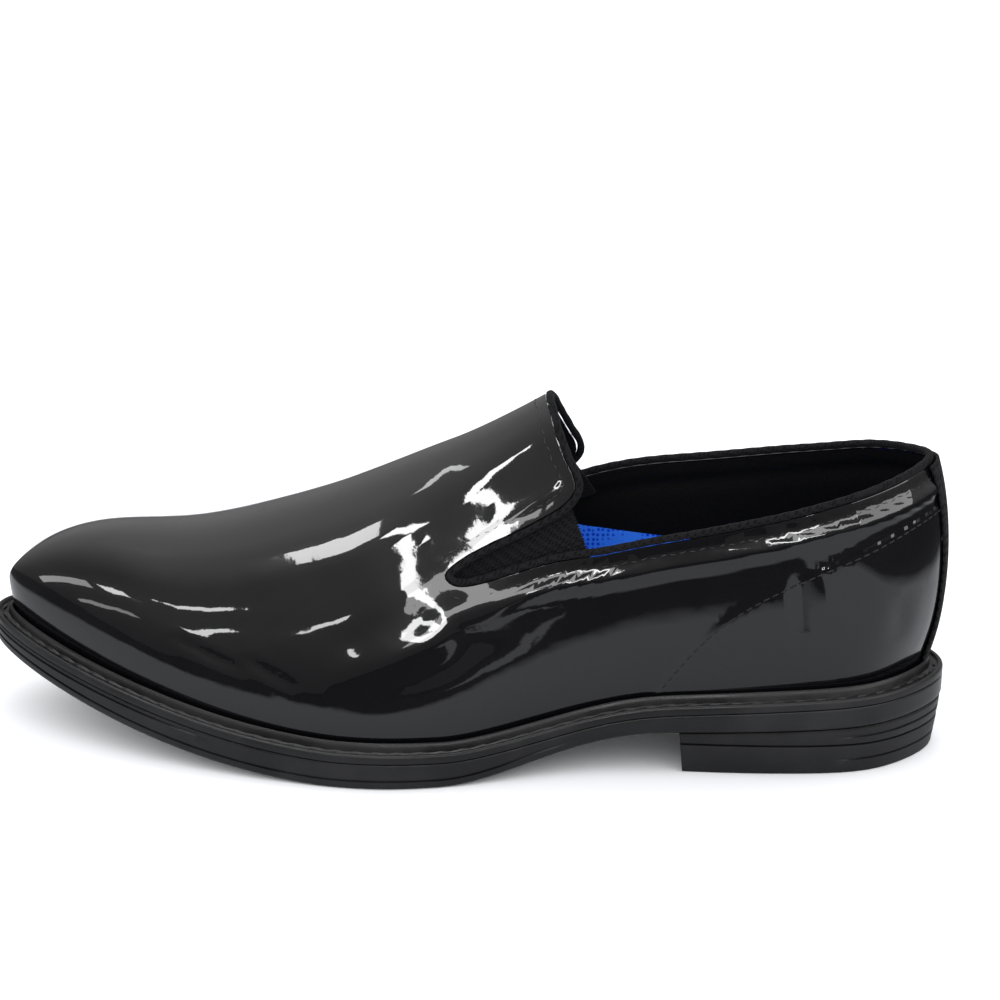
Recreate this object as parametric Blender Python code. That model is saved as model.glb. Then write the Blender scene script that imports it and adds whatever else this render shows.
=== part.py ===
"""Left slip-on dress shoe as separate solids, in metres: +X to the toe, +Y to the outer side, +Z up.

The origin is the middle of the heel's tread, on the floor. Every size below is in millimetres. A table's
lengths are shares of the named size in its own row or column. "Station" is a share of the sole's length,
from 0 at the back of the heel to 1 at the toe, and heights of the upper are taken from the sole's platform,
on which the upper and the welt stand.
"""

import math

import bpy
import numpy as np
from mathutils.geometry import delaunay_2d_cdt

MM = 0.001

# Plan of the sole
SOLE_LENGTH = 305.0
BALL_WIDTH = 104.0
WAIST_WIDTH = 69.0
HEEL_WIDTH = 69.5
TOE_SHIFT = 6.0

# Side of the sole
HEEL_LENGTH = 84.0
HEEL_HEIGHT = 13.5
HEEL_WEDGE = 3.3
HEEL_TAPER = 1.8
TOP_LIFT = 9.6
TREAD_START = 0.515
TREAD_END = 0.615
TOE_SPRING = 25.0
SIDE_BALL = 11.4
SIDE_WAIST = 8.6
SIDE_TOE = 9.4
TREAD_LAYER = 3.2
GROOVE_DEPTH = 0.6
GROOVE_WIDTH = 0.7

# Welt
WELT_THICK = 3.0
WELT_BALL = 5.6
WELT_HEEL = 5.8
BEAD_RISE = 2.2
CHANNEL_DEPTH = 0.6

# Upper
WALL = 2.0
FEATHER_MARGIN = 1.6
TOE_BOX = 37.0
INSTEP = 97.0
CUFF = 112.0
COLLAR_BACK = 69.8
QUARTER = 52.0
HEEL_BULGE = 4.9
SIDE_BULGE = 3.3
COUNTER_STEP = 0.5
SEAM_WIDTH = 0.8

# Trim
BINDING_WIDTH = 2.6
BINDING_HEIGHT = 2.4
BACKSTAY_WIDTH = 13.0
BACKSTAY_THICK = 1.0
GORE_THICK = 1.2
INSOLE_THICK = 4.5
INSOLE_CUP = 1.5

# Clearance between neighbouring pieces
GAP = 0.3

WIDTHS = {"heel": HEEL_WIDTH, "waist": WAIST_WIDTH, "ball": BALL_WIDTH}
SIDES = {"waist": SIDE_WAIST, "ball": SIDE_BALL, "toe": SIDE_TOE}
HEIGHTS = {"toe": TOE_BOX, "instep": INSTEP, "cuff": CUFF}
WELTS = {"heel": WELT_HEEL, "ball": WELT_BALL}

# Outline of the sole: shares of the width that the row follows, to each side of the heel's middle line
OUTLINE_COLUMNS = ("station", "follows", "outer", "inner")
OUTLINE = (
    (0.03, "heel", 0.272, 0.280),
    (0.08, "heel", 0.440, 0.437),
    (0.14, "heel", 0.503, 0.492),
    (0.24, "waist", 0.527, 0.478),
    (0.38, "waist", 0.565, 0.445),
    (0.50, "ball", 0.488, 0.345),
    (0.58, "ball", 0.526, 0.420),
    (0.66, "ball", 0.498, 0.482),
    (0.74, "ball", 0.440, 0.497),
    (0.84, "ball", 0.328, 0.462),
    (0.93, "ball", 0.180, 0.352),
    (0.98, "ball", 0.060, 0.225),
)

# Height of the sole's side
SIDE_COLUMNS = ("station", "follows", "share")
SIDE = (
    (0.00, "waist", 1.14),
    (0.14, "waist", 1.14),
    (0.27, "waist", 1.04),
    (0.40, "waist", 1.02),
    (0.47, "ball", 0.92),
    (0.56, "ball", 0.98),
    (0.70, "ball", 1.01),
    (0.85, "ball", 1.00),
    (1.00, "toe", 1.00),
)

# Width of the welt from the sole's side to the back of its bead
WELT_COLUMNS = ("station", "follows", "share")
WELT = (
    (0.00, "heel", 1.00),
    (0.10, "heel", 0.97),
    (0.25, "ball", 0.95),
    (0.50, "ball", 0.93),
    (0.70, "ball", 1.00),
    (1.00, "ball", 1.03),
)

# Sections of the upper: height of its crown, how far the crown lies to the outer side (share of the ball
# width) and ahead of its feather edge (share of the sole's length), and how full the side and the top are
CROWN_COLUMNS = ("station", "follows", "height", "aside", "ahead", "side_full", "top_full")
CROWN = (
    (0.00, "cuff", 0.860, 0.000, 0.000, 0.55, 0.95),
    (0.10, "cuff", 0.990, 0.000, 0.004, 0.55, 0.88),
    (0.22, "cuff", 1.015, 0.000, 0.006, 0.55, 0.76),
    (0.34, "cuff", 0.955, -0.010, 0.002, 0.50, 0.70),
    (0.42, "instep", 1.006, -0.029, 0.000, 0.44, 0.64),
    (0.50, "instep", 0.906, -0.048, 0.000, 0.42, 0.60),
    (0.60, "instep", 0.772, -0.058, 0.000, 0.42, 0.60),
    (0.70, "instep", 0.643, -0.063, 0.000, 0.44, 0.64),
    (0.80, "toe", 1.350, -0.066, 0.000, 0.50, 0.70),
    (0.90, "toe", 1.108, -0.062, 0.001, 0.55, 0.82),
    (0.96, "toe", 0.822, -0.058, 0.005, 0.58, 1.00),
    (0.99, "toe", 0.550, -0.058, 0.008, 0.60, 1.20),
    (1.00, "toe", 0.360, -0.058, 0.009, 0.62, 1.30),
)

# Bulge of the side: outward pull of the lower part, as a share of SIDE_BULGE
BULGE_COLUMNS = ("station", "share", "back")
BULGE = (
    (0.00, 0.00, 1.00),
    (0.03, 0.55, 0.80),
    (0.10, 1.00, 0.52),
    (0.20, 0.80, 0.28),
    (0.32, 0.45, 0.06),
    (0.45, 0.40, 0.00),
    (0.60, 0.90, 0.00),
    (0.75, 1.10, 0.00),
    (0.90, 1.05, 0.00),
    (1.00, 0.80, 0.00),
)

# Profile of the heel's back: height as a share of COLLAR_BACK, reach as a share of HEEL_BULGE
BACK_COLUMNS = ("height", "reach")
BACK = (
    (0.00, 0.00),
    (0.07, 0.10),
    (0.14, 0.35),
    (0.24, 0.69),
    (0.36, 0.92),
    (0.51, 1.00),
    (0.67, 0.89),
    (0.79, 0.68),
    (0.91, 0.34),
    (1.00, -0.02),
    (1.45, -2.40),
)

# Edge of the opening, from the collar's back to the flap: station and height, as a share of the size named
EDGE_COLUMNS = ("station", "follows", "outer", "inner")
EDGE = (
    (0.045, "collar", 0.974, 0.990),
    (0.080, "collar", 0.943, 0.972),
    (0.125, "quarter", 1.205, 1.266),
    (0.175, "quarter", 1.138, 1.248),
    (0.225, "quarter", 1.084, 1.238),
    (0.280, "quarter", 1.031, 1.236),
    (0.330, "quarter", 0.998, 1.240),
    (0.365, "quarter", 0.995, 1.236),
)
# Edge of the notch, from its lower end round its tip to the flap's corner, as shares of QUARTER
NOTCH_COLUMNS = ("station", "outer", "inner")
NOTCH = (
    (0.405, 1.011, 1.208),
    (0.450, 0.993, 1.140),
    (0.492, 0.970, 1.070),
    (0.508, 0.990, 1.080),
    (0.514, 1.040, 1.120),
    (0.503, 1.108, 1.175),
    (0.476, 1.182, 1.238),
    (0.445, 1.236, 1.286),
    (0.413, 1.297, 1.338),
    (0.397, 1.340, 1.370),
    (0.389, 1.390, 1.412),
    (0.388, 1.445, 1.462),
)
# Front of the throat: share of the half section, and station
THROAT_COLUMNS = ("around", "station")
THROAT = (
    (0.62, 0.391),
    (0.67, 0.397),
    (0.75, 0.405),
    (0.86, 0.412),
    (1.00, 0.417),
)

# Corners of the elastic behind the notch, as shares of QUARTER
GORE_COLUMNS = ("station", "outer", "inner")
GORE = {
    "tip_low": (0.528, 0.895, 0.985),
    "tip_high": (0.526, 1.110, 1.190),
    "rear_low": (0.366, 0.935, 1.130),
    "rear_high": (0.394, 1.375, 1.410),
}

# Seam of the counter: station, and height as a share of the quarter's height
SEAM_COLUMNS = ("station", "height")
SEAM = (
    (0.000, 1.120),
    (0.050, 1.058),
    (0.100, 0.952),
    (0.150, 0.838),
    (0.200, 0.700),
    (0.250, 0.485),
    (0.298, 0.145),
    (0.316, 0.000),
)


def column(table, names, name):
    """One column of a table, as an array."""
    return np.array([row[names.index(name)] for row in table], float)


def sized(table, names, name, sizes):
    """One column of a table times the size that each row follows."""
    follows = names.index("follows")
    place = names.index(name)
    return np.array([row[place] * sizes[row[follows]] for row in table], float)


def smooth(xs, ys):
    """Natural cubic spline through (xs, ys), as a function."""
    xs = np.asarray(xs, float)
    ys = np.asarray(ys, float)
    count = len(xs)
    step = np.diff(xs)
    left = np.eye(count)
    right = np.zeros(count)
    for i in range(1, count - 1):
        left[i, i - 1] = step[i - 1]
        left[i, i] = 2 * (step[i - 1] + step[i])
        left[i, i + 1] = step[i]
        right[i] = 6 * ((ys[i + 1] - ys[i]) / step[i] - (ys[i] - ys[i - 1]) / step[i - 1])
    bend = np.linalg.solve(left, right)

    def value(x):
        x = np.asarray(x, float)
        i = np.clip(np.searchsorted(xs, x) - 1, 0, count - 2)
        a = (xs[i + 1] - x) / step[i]
        b = (x - xs[i]) / step[i]
        curve = ((a**3 - a) * bend[i] + (b**3 - b) * bend[i + 1]) * step[i] ** 2 / 6
        return a * ys[i] + b * ys[i + 1] + curve

    return value


def eased(t):
    """Soft step from 0 to 1."""
    t = np.clip(t, 0.0, 1.0)
    return t * t * (3 - 2 * t)


def turn(station):
    """Turn round the plan, 0 to 1, of a station: it spaces points closely at the round ends."""
    return np.arccos(np.clip(1 - 2 * np.asarray(station, float), -1, 1)) / math.pi


def station_of(u):
    return (1 - np.cos(math.pi * np.asarray(u, float))) / 2


def make_outline(name, sign):
    stations = [0.0, *column(OUTLINE, OUTLINE_COLUMNS, "station"), 1.0]
    reach = [0.0, *(sign * sized(OUTLINE, OUTLINE_COLUMNS, name, WIDTHS)), -TOE_SHIFT]
    return smooth(turn(stations), reach)


OUTER_EDGE = make_outline("outer", 1)
INNER_EDGE = make_outline("inner", -1)
SIDE_HEIGHT = smooth(column(SIDE, SIDE_COLUMNS, "station"), sized(SIDE, SIDE_COLUMNS, "share", SIDES))
WELT_WIDTH = smooth(column(WELT, WELT_COLUMNS, "station"), sized(WELT, WELT_COLUMNS, "share", WELTS))
CROWN_TURN = turn(column(CROWN, CROWN_COLUMNS, "station"))
CROWN_HEIGHT = smooth(CROWN_TURN, sized(CROWN, CROWN_COLUMNS, "height", HEIGHTS))
CROWN_ASIDE = smooth(CROWN_TURN, column(CROWN, CROWN_COLUMNS, "aside"))
CROWN_AHEAD = smooth(CROWN_TURN, column(CROWN, CROWN_COLUMNS, "ahead"))
SIDE_FULL = smooth(CROWN_TURN, column(CROWN, CROWN_COLUMNS, "side_full"))
TOP_FULL = smooth(CROWN_TURN, column(CROWN, CROWN_COLUMNS, "top_full"))
BULGE_TURN = turn(column(BULGE, BULGE_COLUMNS, "station"))
BULGE_SHARE = smooth(BULGE_TURN, column(BULGE, BULGE_COLUMNS, "share"))
BACK_SHARE = smooth(BULGE_TURN, column(BULGE, BULGE_COLUMNS, "back"))
BACK_REACH = smooth(column(BACK, BACK_COLUMNS, "height"), column(BACK, BACK_COLUMNS, "reach"))
SEAM_HEIGHT = smooth(column(SEAM, SEAM_COLUMNS, "station"), column(SEAM, SEAM_COLUMNS, "height"))


def underside(x):
    """Height of the sole's underside at x: over the heel, the waist, the tread and the toe spring."""
    x = np.asarray(x, float)
    start = TREAD_START * SOLE_LENGTH
    end = TREAD_END * SOLE_LENGTH
    slope = -HEEL_WEDGE / HEEL_LENGTH
    over_heel = HEEL_HEIGHT + slope * (x - HEEL_LENGTH)
    t = np.clip((x - HEEL_LENGTH) / (start - HEEL_LENGTH), 0, 1)
    waist = HEEL_HEIGHT * (1 - eased(t**1.2)) + slope * (start - HEEL_LENGTH) * t * (1 - t) ** 2
    toe = TOE_SPRING * np.clip((x - end) / (SOLE_LENGTH - end), 0, None) ** 1.75
    return np.where(x < HEEL_LENGTH, over_heel, waist) + toe


def side_top(x):
    """Height of the top edge of the sole's side."""
    return underside(x) + SIDE_HEIGHT(np.clip(np.asarray(x, float) / SOLE_LENGTH, 0, 1))


def platform(x):
    """Height of the face on which the welt and the upper stand."""
    return side_top(x) - WELT_THICK


def rim(u, side, inset):
    """Plan point on the sole's outline, moved in by inset, and the plan's outward normal there."""
    u = np.asarray(u, float)
    edge = OUTER_EDGE if side > 0 else INNER_EDGE
    low = np.clip(u - 1e-4, 0, 1)
    high = np.clip(u + 1e-4, 0, 1)
    along = SOLE_LENGTH * (station_of(high) - station_of(low))
    across = edge(high) - edge(low)
    size = np.hypot(along, across)
    nx = np.where(u <= 0, -1.0, np.where(u >= 1, 1.0, -side * across / size))
    ny = np.where((u <= 0) | (u >= 1), 0.0, side * along / size)
    return SOLE_LENGTH * station_of(u) - nx * inset, edge(u) - ny * inset, nx, ny


def feather_inset(u):
    """Distance from the sole's side to the foot of the upper."""
    return WELT_WIDTH(station_of(u)) + FEATHER_MARGIN


def upper_point(u, v, side):
    """Outer face of the upper: u runs from heel to toe, v from the feather edge up to the crown."""
    u, v = np.broadcast_arrays(np.asarray(u, float), np.asarray(v, float))
    station = station_of(u)
    fx, fy, nx, ny = rim(u, side, feather_inset(u))
    foot = platform(fx) + GAP
    back = float(feather_inset(0.0))
    front = SOLE_LENGTH - float(feather_inset(1.0))
    cx = back + (front - back) * station + CROWN_AHEAD(u) * SOLE_LENGTH
    cy = CROWN_ASIDE(u) * BALL_WIDTH
    top = platform(cx) + CROWN_HEIGHT(u)
    rise = top - foot
    flare = SIDE_BULGE * BULGE_SHARE(u)
    a, b, c, d = (1 - v) ** 3, 3 * (1 - v) ** 2 * v, 3 * (1 - v) * v**2, v**3
    x = a * fx + b * (fx + nx * flare) + (c + d) * cx
    y = a * fy + b * (fy + ny * flare) + c * (cy + (fy - cy) * TOP_FULL(u)) + d * cy
    z = a * foot + b * (foot + rise * SIDE_FULL(u)) + (c + d) * top
    reach = HEEL_BULGE * BACK_SHARE(u) * BACK_REACH(np.clip((z - foot) / COLLAR_BACK, 0, 1.45))
    return np.stack([x + nx * reach, y + ny * reach, z], -1)


def around_point(u, w):
    """The same face over both sides at once: w is v on the outer side and 2 - v on the inner side."""
    u, w = np.broadcast_arrays(np.asarray(u, float), np.asarray(w, float))
    outer = upper_point(u, np.clip(w, 0, 1), 1)
    inner = upper_point(u, np.clip(2 - w, 0, 1), -1)
    return np.where((w <= 1)[..., None], outer, inner)


def around_normal(u, w):
    """Unit normal of the upper's outer face, pointing out."""
    u, w = np.broadcast_arrays(np.asarray(u, float), np.asarray(w, float))
    side = np.where(w <= 1, 1.0, -1.0)
    v = np.where(w <= 1, w, 2 - w)
    step = 2e-3
    u = np.clip(u, 4e-3, 1 - 4e-3)
    v = np.clip(v, 2 * step, 1 - 2 * step)
    w = np.where(side > 0, v, 2 - v)
    along = around_point(u + step, w) - around_point(u - step, w)
    up = around_point(u, w + step) - around_point(u, w - step)
    normal = np.cross(up, along)
    return normal / np.linalg.norm(normal, axis=-1, keepdims=True)


def place(x, height, side):
    """(u, v) of the point of the upper at x and that height over the platform."""
    x = np.asarray(x, float)
    z = platform(x) + height
    u = turn(x / SOLE_LENGTH)
    v = np.full_like(u, 0.4)
    step = 1e-4
    for _ in range(25):
        here = upper_point(u, v, side)
        du = (upper_point(u + step, v, side) - here) / step
        dv = (upper_point(u, v + step, side) - here) / step
        ex = x - here[..., 0]
        ez = z - here[..., 2]
        det = du[..., 0] * dv[..., 2] - du[..., 2] * dv[..., 0]
        det = np.where(np.abs(det) < 1e-6, 1e-6, det)
        u = np.clip(u + np.clip((ex * dv[..., 2] - ez * dv[..., 0]) / det, -0.05, 0.05), 1e-4, 1 - 1e-3)
        v = np.clip(v + np.clip((ez * du[..., 0] - ex * du[..., 2]) / det, -0.1, 0.1), 0.01, 0.98)
    return u, v


def at_heel(height):
    """v of a height over the platform on the middle line of the heel's back."""
    tries = np.linspace(0, 1, 801)
    heights = upper_point(0.0, tries, 1)[..., 2] - float(platform(float(feather_inset(0.0))))
    return float(np.interp(height, heights, tries))


def rounded(points, spacing, reach):
    """Points every `spacing` on a smooth curve through the given (u, w) points; `reach` scales u and w."""
    points = np.asarray(points, float)
    length = np.concatenate([[0], np.cumsum(np.linalg.norm(np.diff(points * reach, axis=0), axis=1) ** 0.6)])
    fine = np.linspace(0, length[-1], 1500)
    dense = np.stack([smooth(length, points[:, 0])(fine), smooth(length, points[:, 1])(fine)], 1)
    solid = around_point(dense[:, 0], dense[:, 1])
    run = np.concatenate([[0], np.cumsum(np.linalg.norm(np.diff(solid, axis=0), axis=1))])
    count = max(4, int(round(run[-1] / spacing)))
    at = np.linspace(0, run[-1], count + 1)
    return np.stack([np.interp(at, run, dense[:, 0]), np.interp(at, run, dense[:, 1])], 1)


def opening(spacing):
    """Edge of the opening as (u, w) points, from the collar's back over the outer side and the throat."""
    named = {"collar": COLLAR_BACK, "quarter": QUARTER}
    halves = []
    for name, side in (("outer", 1), ("inner", -1)):
        stations = [*column(EDGE, EDGE_COLUMNS, "station"), *column(NOTCH, NOTCH_COLUMNS, "station")]
        heights = [*sized(EDGE, EDGE_COLUMNS, name, named), *(column(NOTCH, NOTCH_COLUMNS, name) * QUARTER)]
        u, v = place(np.array(stations) * SOLE_LENGTH, np.array(heights), side)
        around = column(THROAT, THROAT_COLUMNS, "around")
        front = turn(column(THROAT, THROAT_COLUMNS, "station"))
        u = np.concatenate([[0.0], u, front])
        v = np.concatenate([[at_heel(COLLAR_BACK)], v, around])
        halves.append(np.stack([u, v if side > 0 else 2 - v], 1))
    whole = np.concatenate([halves[0], halves[1][-2::-1]])
    return rounded(whole, spacing, np.array([400.0, 80.0]))


def counter(u, w):
    """How far the counter stands proud of the vamp's line at (u, w)."""
    points = around_point(u, w)
    height = points[..., 2] - platform(points[..., 0])
    station = np.clip(points[..., 0] / SOLE_LENGTH, 0, SEAM[-1][0])
    over = SEAM_HEIGHT(station) * QUARTER - height
    inside = (points[..., 0] < SEAM[-1][0] * SOLE_LENGTH) & (over >= SEAM_WIDTH * 0.5)
    return np.where(inside, COUNTER_STEP, 0.0)


def seam_line(shift, side):
    """(u, w) points of the counter's seam, moved down by `shift`."""
    stations = np.linspace(SEAM[0][0], SEAM[-1][0], 16)[1:-1]
    heights = SEAM_HEIGHT(stations) * QUARTER - shift
    keep = heights > 1.5
    u, v = place(stations[keep] * SOLE_LENGTH, heights[keep], side)
    last = float(np.interp(-shift, -SEAM_HEIGHT(np.linspace(0, SEAM[-1][0], 400)) * QUARTER, np.linspace(0, SEAM[-1][0], 400)))
    u = np.concatenate([[0.0], u, [float(turn(last))]])
    v = np.concatenate([[at_heel(SEAM[0][1] * QUARTER - shift)], v, [0.0]])
    return np.stack([u, v if side > 0 else 2 - v], 1)


def add(name, points, faces, colour, roughness):
    """Makes the object, faces out, in the shared frame."""
    origin = np.array([ORIGIN_X, 0.0, 0.0])
    points = (np.asarray(points, float) - origin) * MM
    volume = 0.0
    for face in faces:
        for i in range(1, len(face) - 1):
            volume += np.dot(points[face[0]], np.cross(points[face[i]], points[face[i + 1]]))
    if volume < 0:
        faces = [tuple(reversed(face)) for face in faces]
    mesh = bpy.data.meshes.new(name)
    mesh.from_pydata([tuple(p) for p in points], [], [tuple(int(i) for i in f) for f in faces])
    mesh.update()
    material = bpy.data.materials.new(name)
    material.use_nodes = True
    shader = material.node_tree.nodes["Principled BSDF"]
    shader.inputs["Base Color"].default_value = (*colour, 1.0)
    shader.inputs["Roughness"].default_value = roughness
    mesh.materials.append(material)
    item = bpy.data.objects.new(name, mesh)
    bpy.context.scene.collection.objects.link(item)
    return item


def loop_stations(count, extra=()):
    """u values from heel to toe, close at the round ends, with the extra stations among them."""
    plain = np.linspace(0, 1, count + 1)
    wanted = [float(turn(e)) for e in extra]
    kept = [u for u in plain if all(abs(u - e) > 0.35 / count for e in wanted) or u in (0.0, 1.0)]
    return np.array(sorted([*kept, *wanted]))


def loop_points(us, inset, height):
    """Closed loop round the sole: inset and height are functions of u and x, or plain numbers."""
    rows = []
    for side, order in ((1, us), (-1, us[-2:0:-1])):
        depth = inset(order) if callable(inset) else inset
        x, y, _, _ = rim(order, side, depth)
        rows.append(np.stack([x, y, height(x) + 0 * x], 1))
    return np.concatenate(rows)


def strip_faces(first, count, flip):
    """Cap of a loop made by loop_points: strips between its outer and inner sides."""
    faces = []
    total = 2 * count
    for k in range(count):
        outer = (first + k, first + k + 1)
        inner = (first + (total - k) % total, first + total - k - 1)
        face = [outer[0], outer[1], inner[1], inner[0]]
        face = list(dict.fromkeys(face))
        faces.append(tuple(reversed(face)) if flip else tuple(face))
    return faces


def wall_faces(first, second, count):
    return [(first + i, first + (i + 1) % count, second + (i + 1) % count, second + i) for i in range(count)]


def stack(us, levels):
    """Solid of loops one over another, closed by strips: levels are (inset, height) pairs, bottom first."""
    loops = [loop_points(us, inset, height) for inset, height in levels]
    size = len(loops[0])
    faces = strip_faces(0, len(us) - 1, True)
    for i in range(len(loops) - 1):
        faces += wall_faces(i * size, (i + 1) * size, size)
    faces += strip_faces((len(loops) - 1) * size, len(us) - 1, False)
    return np.concatenate(loops), faces


def outsole():
    """Sole with its tread layer, the groove over it and the fine groove round the toe."""
    tread = (TREAD_START, TREAD_END)
    us = loop_stations(46, (HEEL_LENGTH / SOLE_LENGTH, *tread))

    def fore(u):
        return eased((station_of(u) - 0.36) / 0.12)

    def toe(u):
        return eased((station_of(u) - 0.72) / 0.10)

    def at(share):
        return lambda x: underside(x) + share

    def under_top(drop):
        return lambda x: platform(x) - drop

    levels = [
        (1.2, at(0.0)),
        (0.3, at(0.7)),
        (0.0, at(TREAD_LAYER - GROOVE_WIDTH)),
        (lambda u: GROOVE_DEPTH * fore(u), at(TREAD_LAYER - GROOVE_WIDTH / 2)),
        (0.0, at(TREAD_LAYER)),
        (0.0, under_top(1.7)),
        (lambda u: GROOVE_DEPTH * toe(u), under_top(1.7 - GROOVE_WIDTH / 2)),
        (0.0, under_top(1.7 - GROOVE_WIDTH)),
        (0.0, under_top(0.0)),
    ]
    points, faces = stack(us, levels)
    add("outsole", points, faces, (0.02, 0.02, 0.022), 0.45)


def welt():
    """Ring round the upper's foot: rim, stitched channel and bead."""
    us = loop_stations(46, ())
    top = WELT_THICK
    # Share of the welt's width from the side, and height over the platform
    section = (
        (0.00, GAP),
        (0.00, top - 0.5),
        (0.08, top),
        (0.24, top),
        (0.30, top - CHANNEL_DEPTH),
        (0.70, top - CHANNEL_DEPTH * 0.5),
        (0.80, top + BEAD_RISE * 0.75),
        (0.90, top + BEAD_RISE),
        (1.00, top + BEAD_RISE * 0.75),
        (1.00, GAP),
    )
    loops = []
    for share, height in section:
        loops.append(
            loop_points(us, lambda u, s=share: s * WELT_WIDTH(station_of(u)), lambda x, h=height: platform(x) + h)
        )
    size = len(loops[0])
    faces = []
    for i in range(len(loops)):
        faces += wall_faces(i * size, ((i + 1) % len(loops)) * size, size)
    add("welt", np.concatenate(loops), faces, (0.02, 0.02, 0.02), 0.5)


def heel_loop(us, inset, height, breast):
    """Loop round the heel, flat across its breast."""
    rows = []
    for side, order in ((1, us[::-1]), (-1, us[1:])):
        x, y, _, _ = rim(order, side, inset(order))
        x = np.where(order == us[-1], breast, np.minimum(x, breast))
        rows.append(np.stack([x, y, height(x) + 0 * x], 1))
    return np.concatenate(rows)


def heel_solid(name, levels):
    """Part of the heel from (inset, height, breast) levels, bottom first."""
    us = np.linspace(0, float(turn(HEEL_LENGTH / SOLE_LENGTH)), 15)
    loops = [heel_loop(us, inset, height, breast) for inset, height, breast in levels]
    size = len(loops[0])
    half = len(us) - 1
    faces = []
    for level, flip in ((0, True), (len(loops) - 1, False)):
        first = level * size
        for k in range(half):
            face = list(dict.fromkeys([first + k, first + k + 1, first + size - 2 - k, first + size - 1 - k]))
            faces.append(tuple(reversed(face)) if flip else tuple(face))
    for i in range(len(loops) - 1):
        faces += wall_faces(i * size, (i + 1) * size, size)
    add(name, np.concatenate(loops), faces, (0.02, 0.02, 0.02), 0.5)


def heel_inset(z):
    """The heel's side leans in from the sole to the tread."""
    return 0.4 + HEEL_TAPER * (1 - np.clip(z / HEEL_HEIGHT, 0, 1))


def heel():
    """Heel base under the sole and the top lift under it, with the grooves of their sides."""

    def fade(u):
        return eased((0.13 - station_of(u)) / 0.05)

    def lean(u, z):
        return heel_inset(z) + 0 * u

    breast = HEEL_LENGTH - GAP
    lift = TOP_LIFT
    groove = lift * 0.5
    heel_solid(
        "heel_top_lift",
        [
            (lambda u: lean(u, 0.0) + 0.5, lambda x: 0.0, breast - 1.4),
            (lambda u: lean(u, 0.5), lambda x: 0.5, breast - 0.9),
            (lambda u: lean(u, groove - 0.4), lambda x: groove - 0.4, breast - 0.5),
            (lambda u: lean(u, groove) + GROOVE_DEPTH * fade(u), lambda x: groove, breast - 0.5),
            (lambda u: lean(u, groove + 0.4), lambda x: groove + 0.4, breast - 0.5),
            (lambda u: lean(u, lift), lambda x: lift, breast - 0.2),
        ],
    )

    def level(share, extra):
        def height(x):
            low = lift + GAP
            return low + (underside(x) - GAP - low) * share + extra

        return height

    heel_solid(
        "heel_base",
        [
            (lambda u: lean(u, lift), level(0.0, 0.0), breast - 0.2),
            (lambda u: lean(u, lift + 2.2), level(0.50, -0.4), breast - 0.1),
            (lambda u: lean(u, lift + 2.6) + GROOVE_DEPTH * fade(u), level(0.50, 0.0), breast - 0.1),
            (lambda u: lean(u, lift + 3.0), level(0.50, 0.4), breast - 0.1),
            (lambda u: lean(u, HEEL_HEIGHT), level(1.0, 0.0), breast),
        ],
    )


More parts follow.
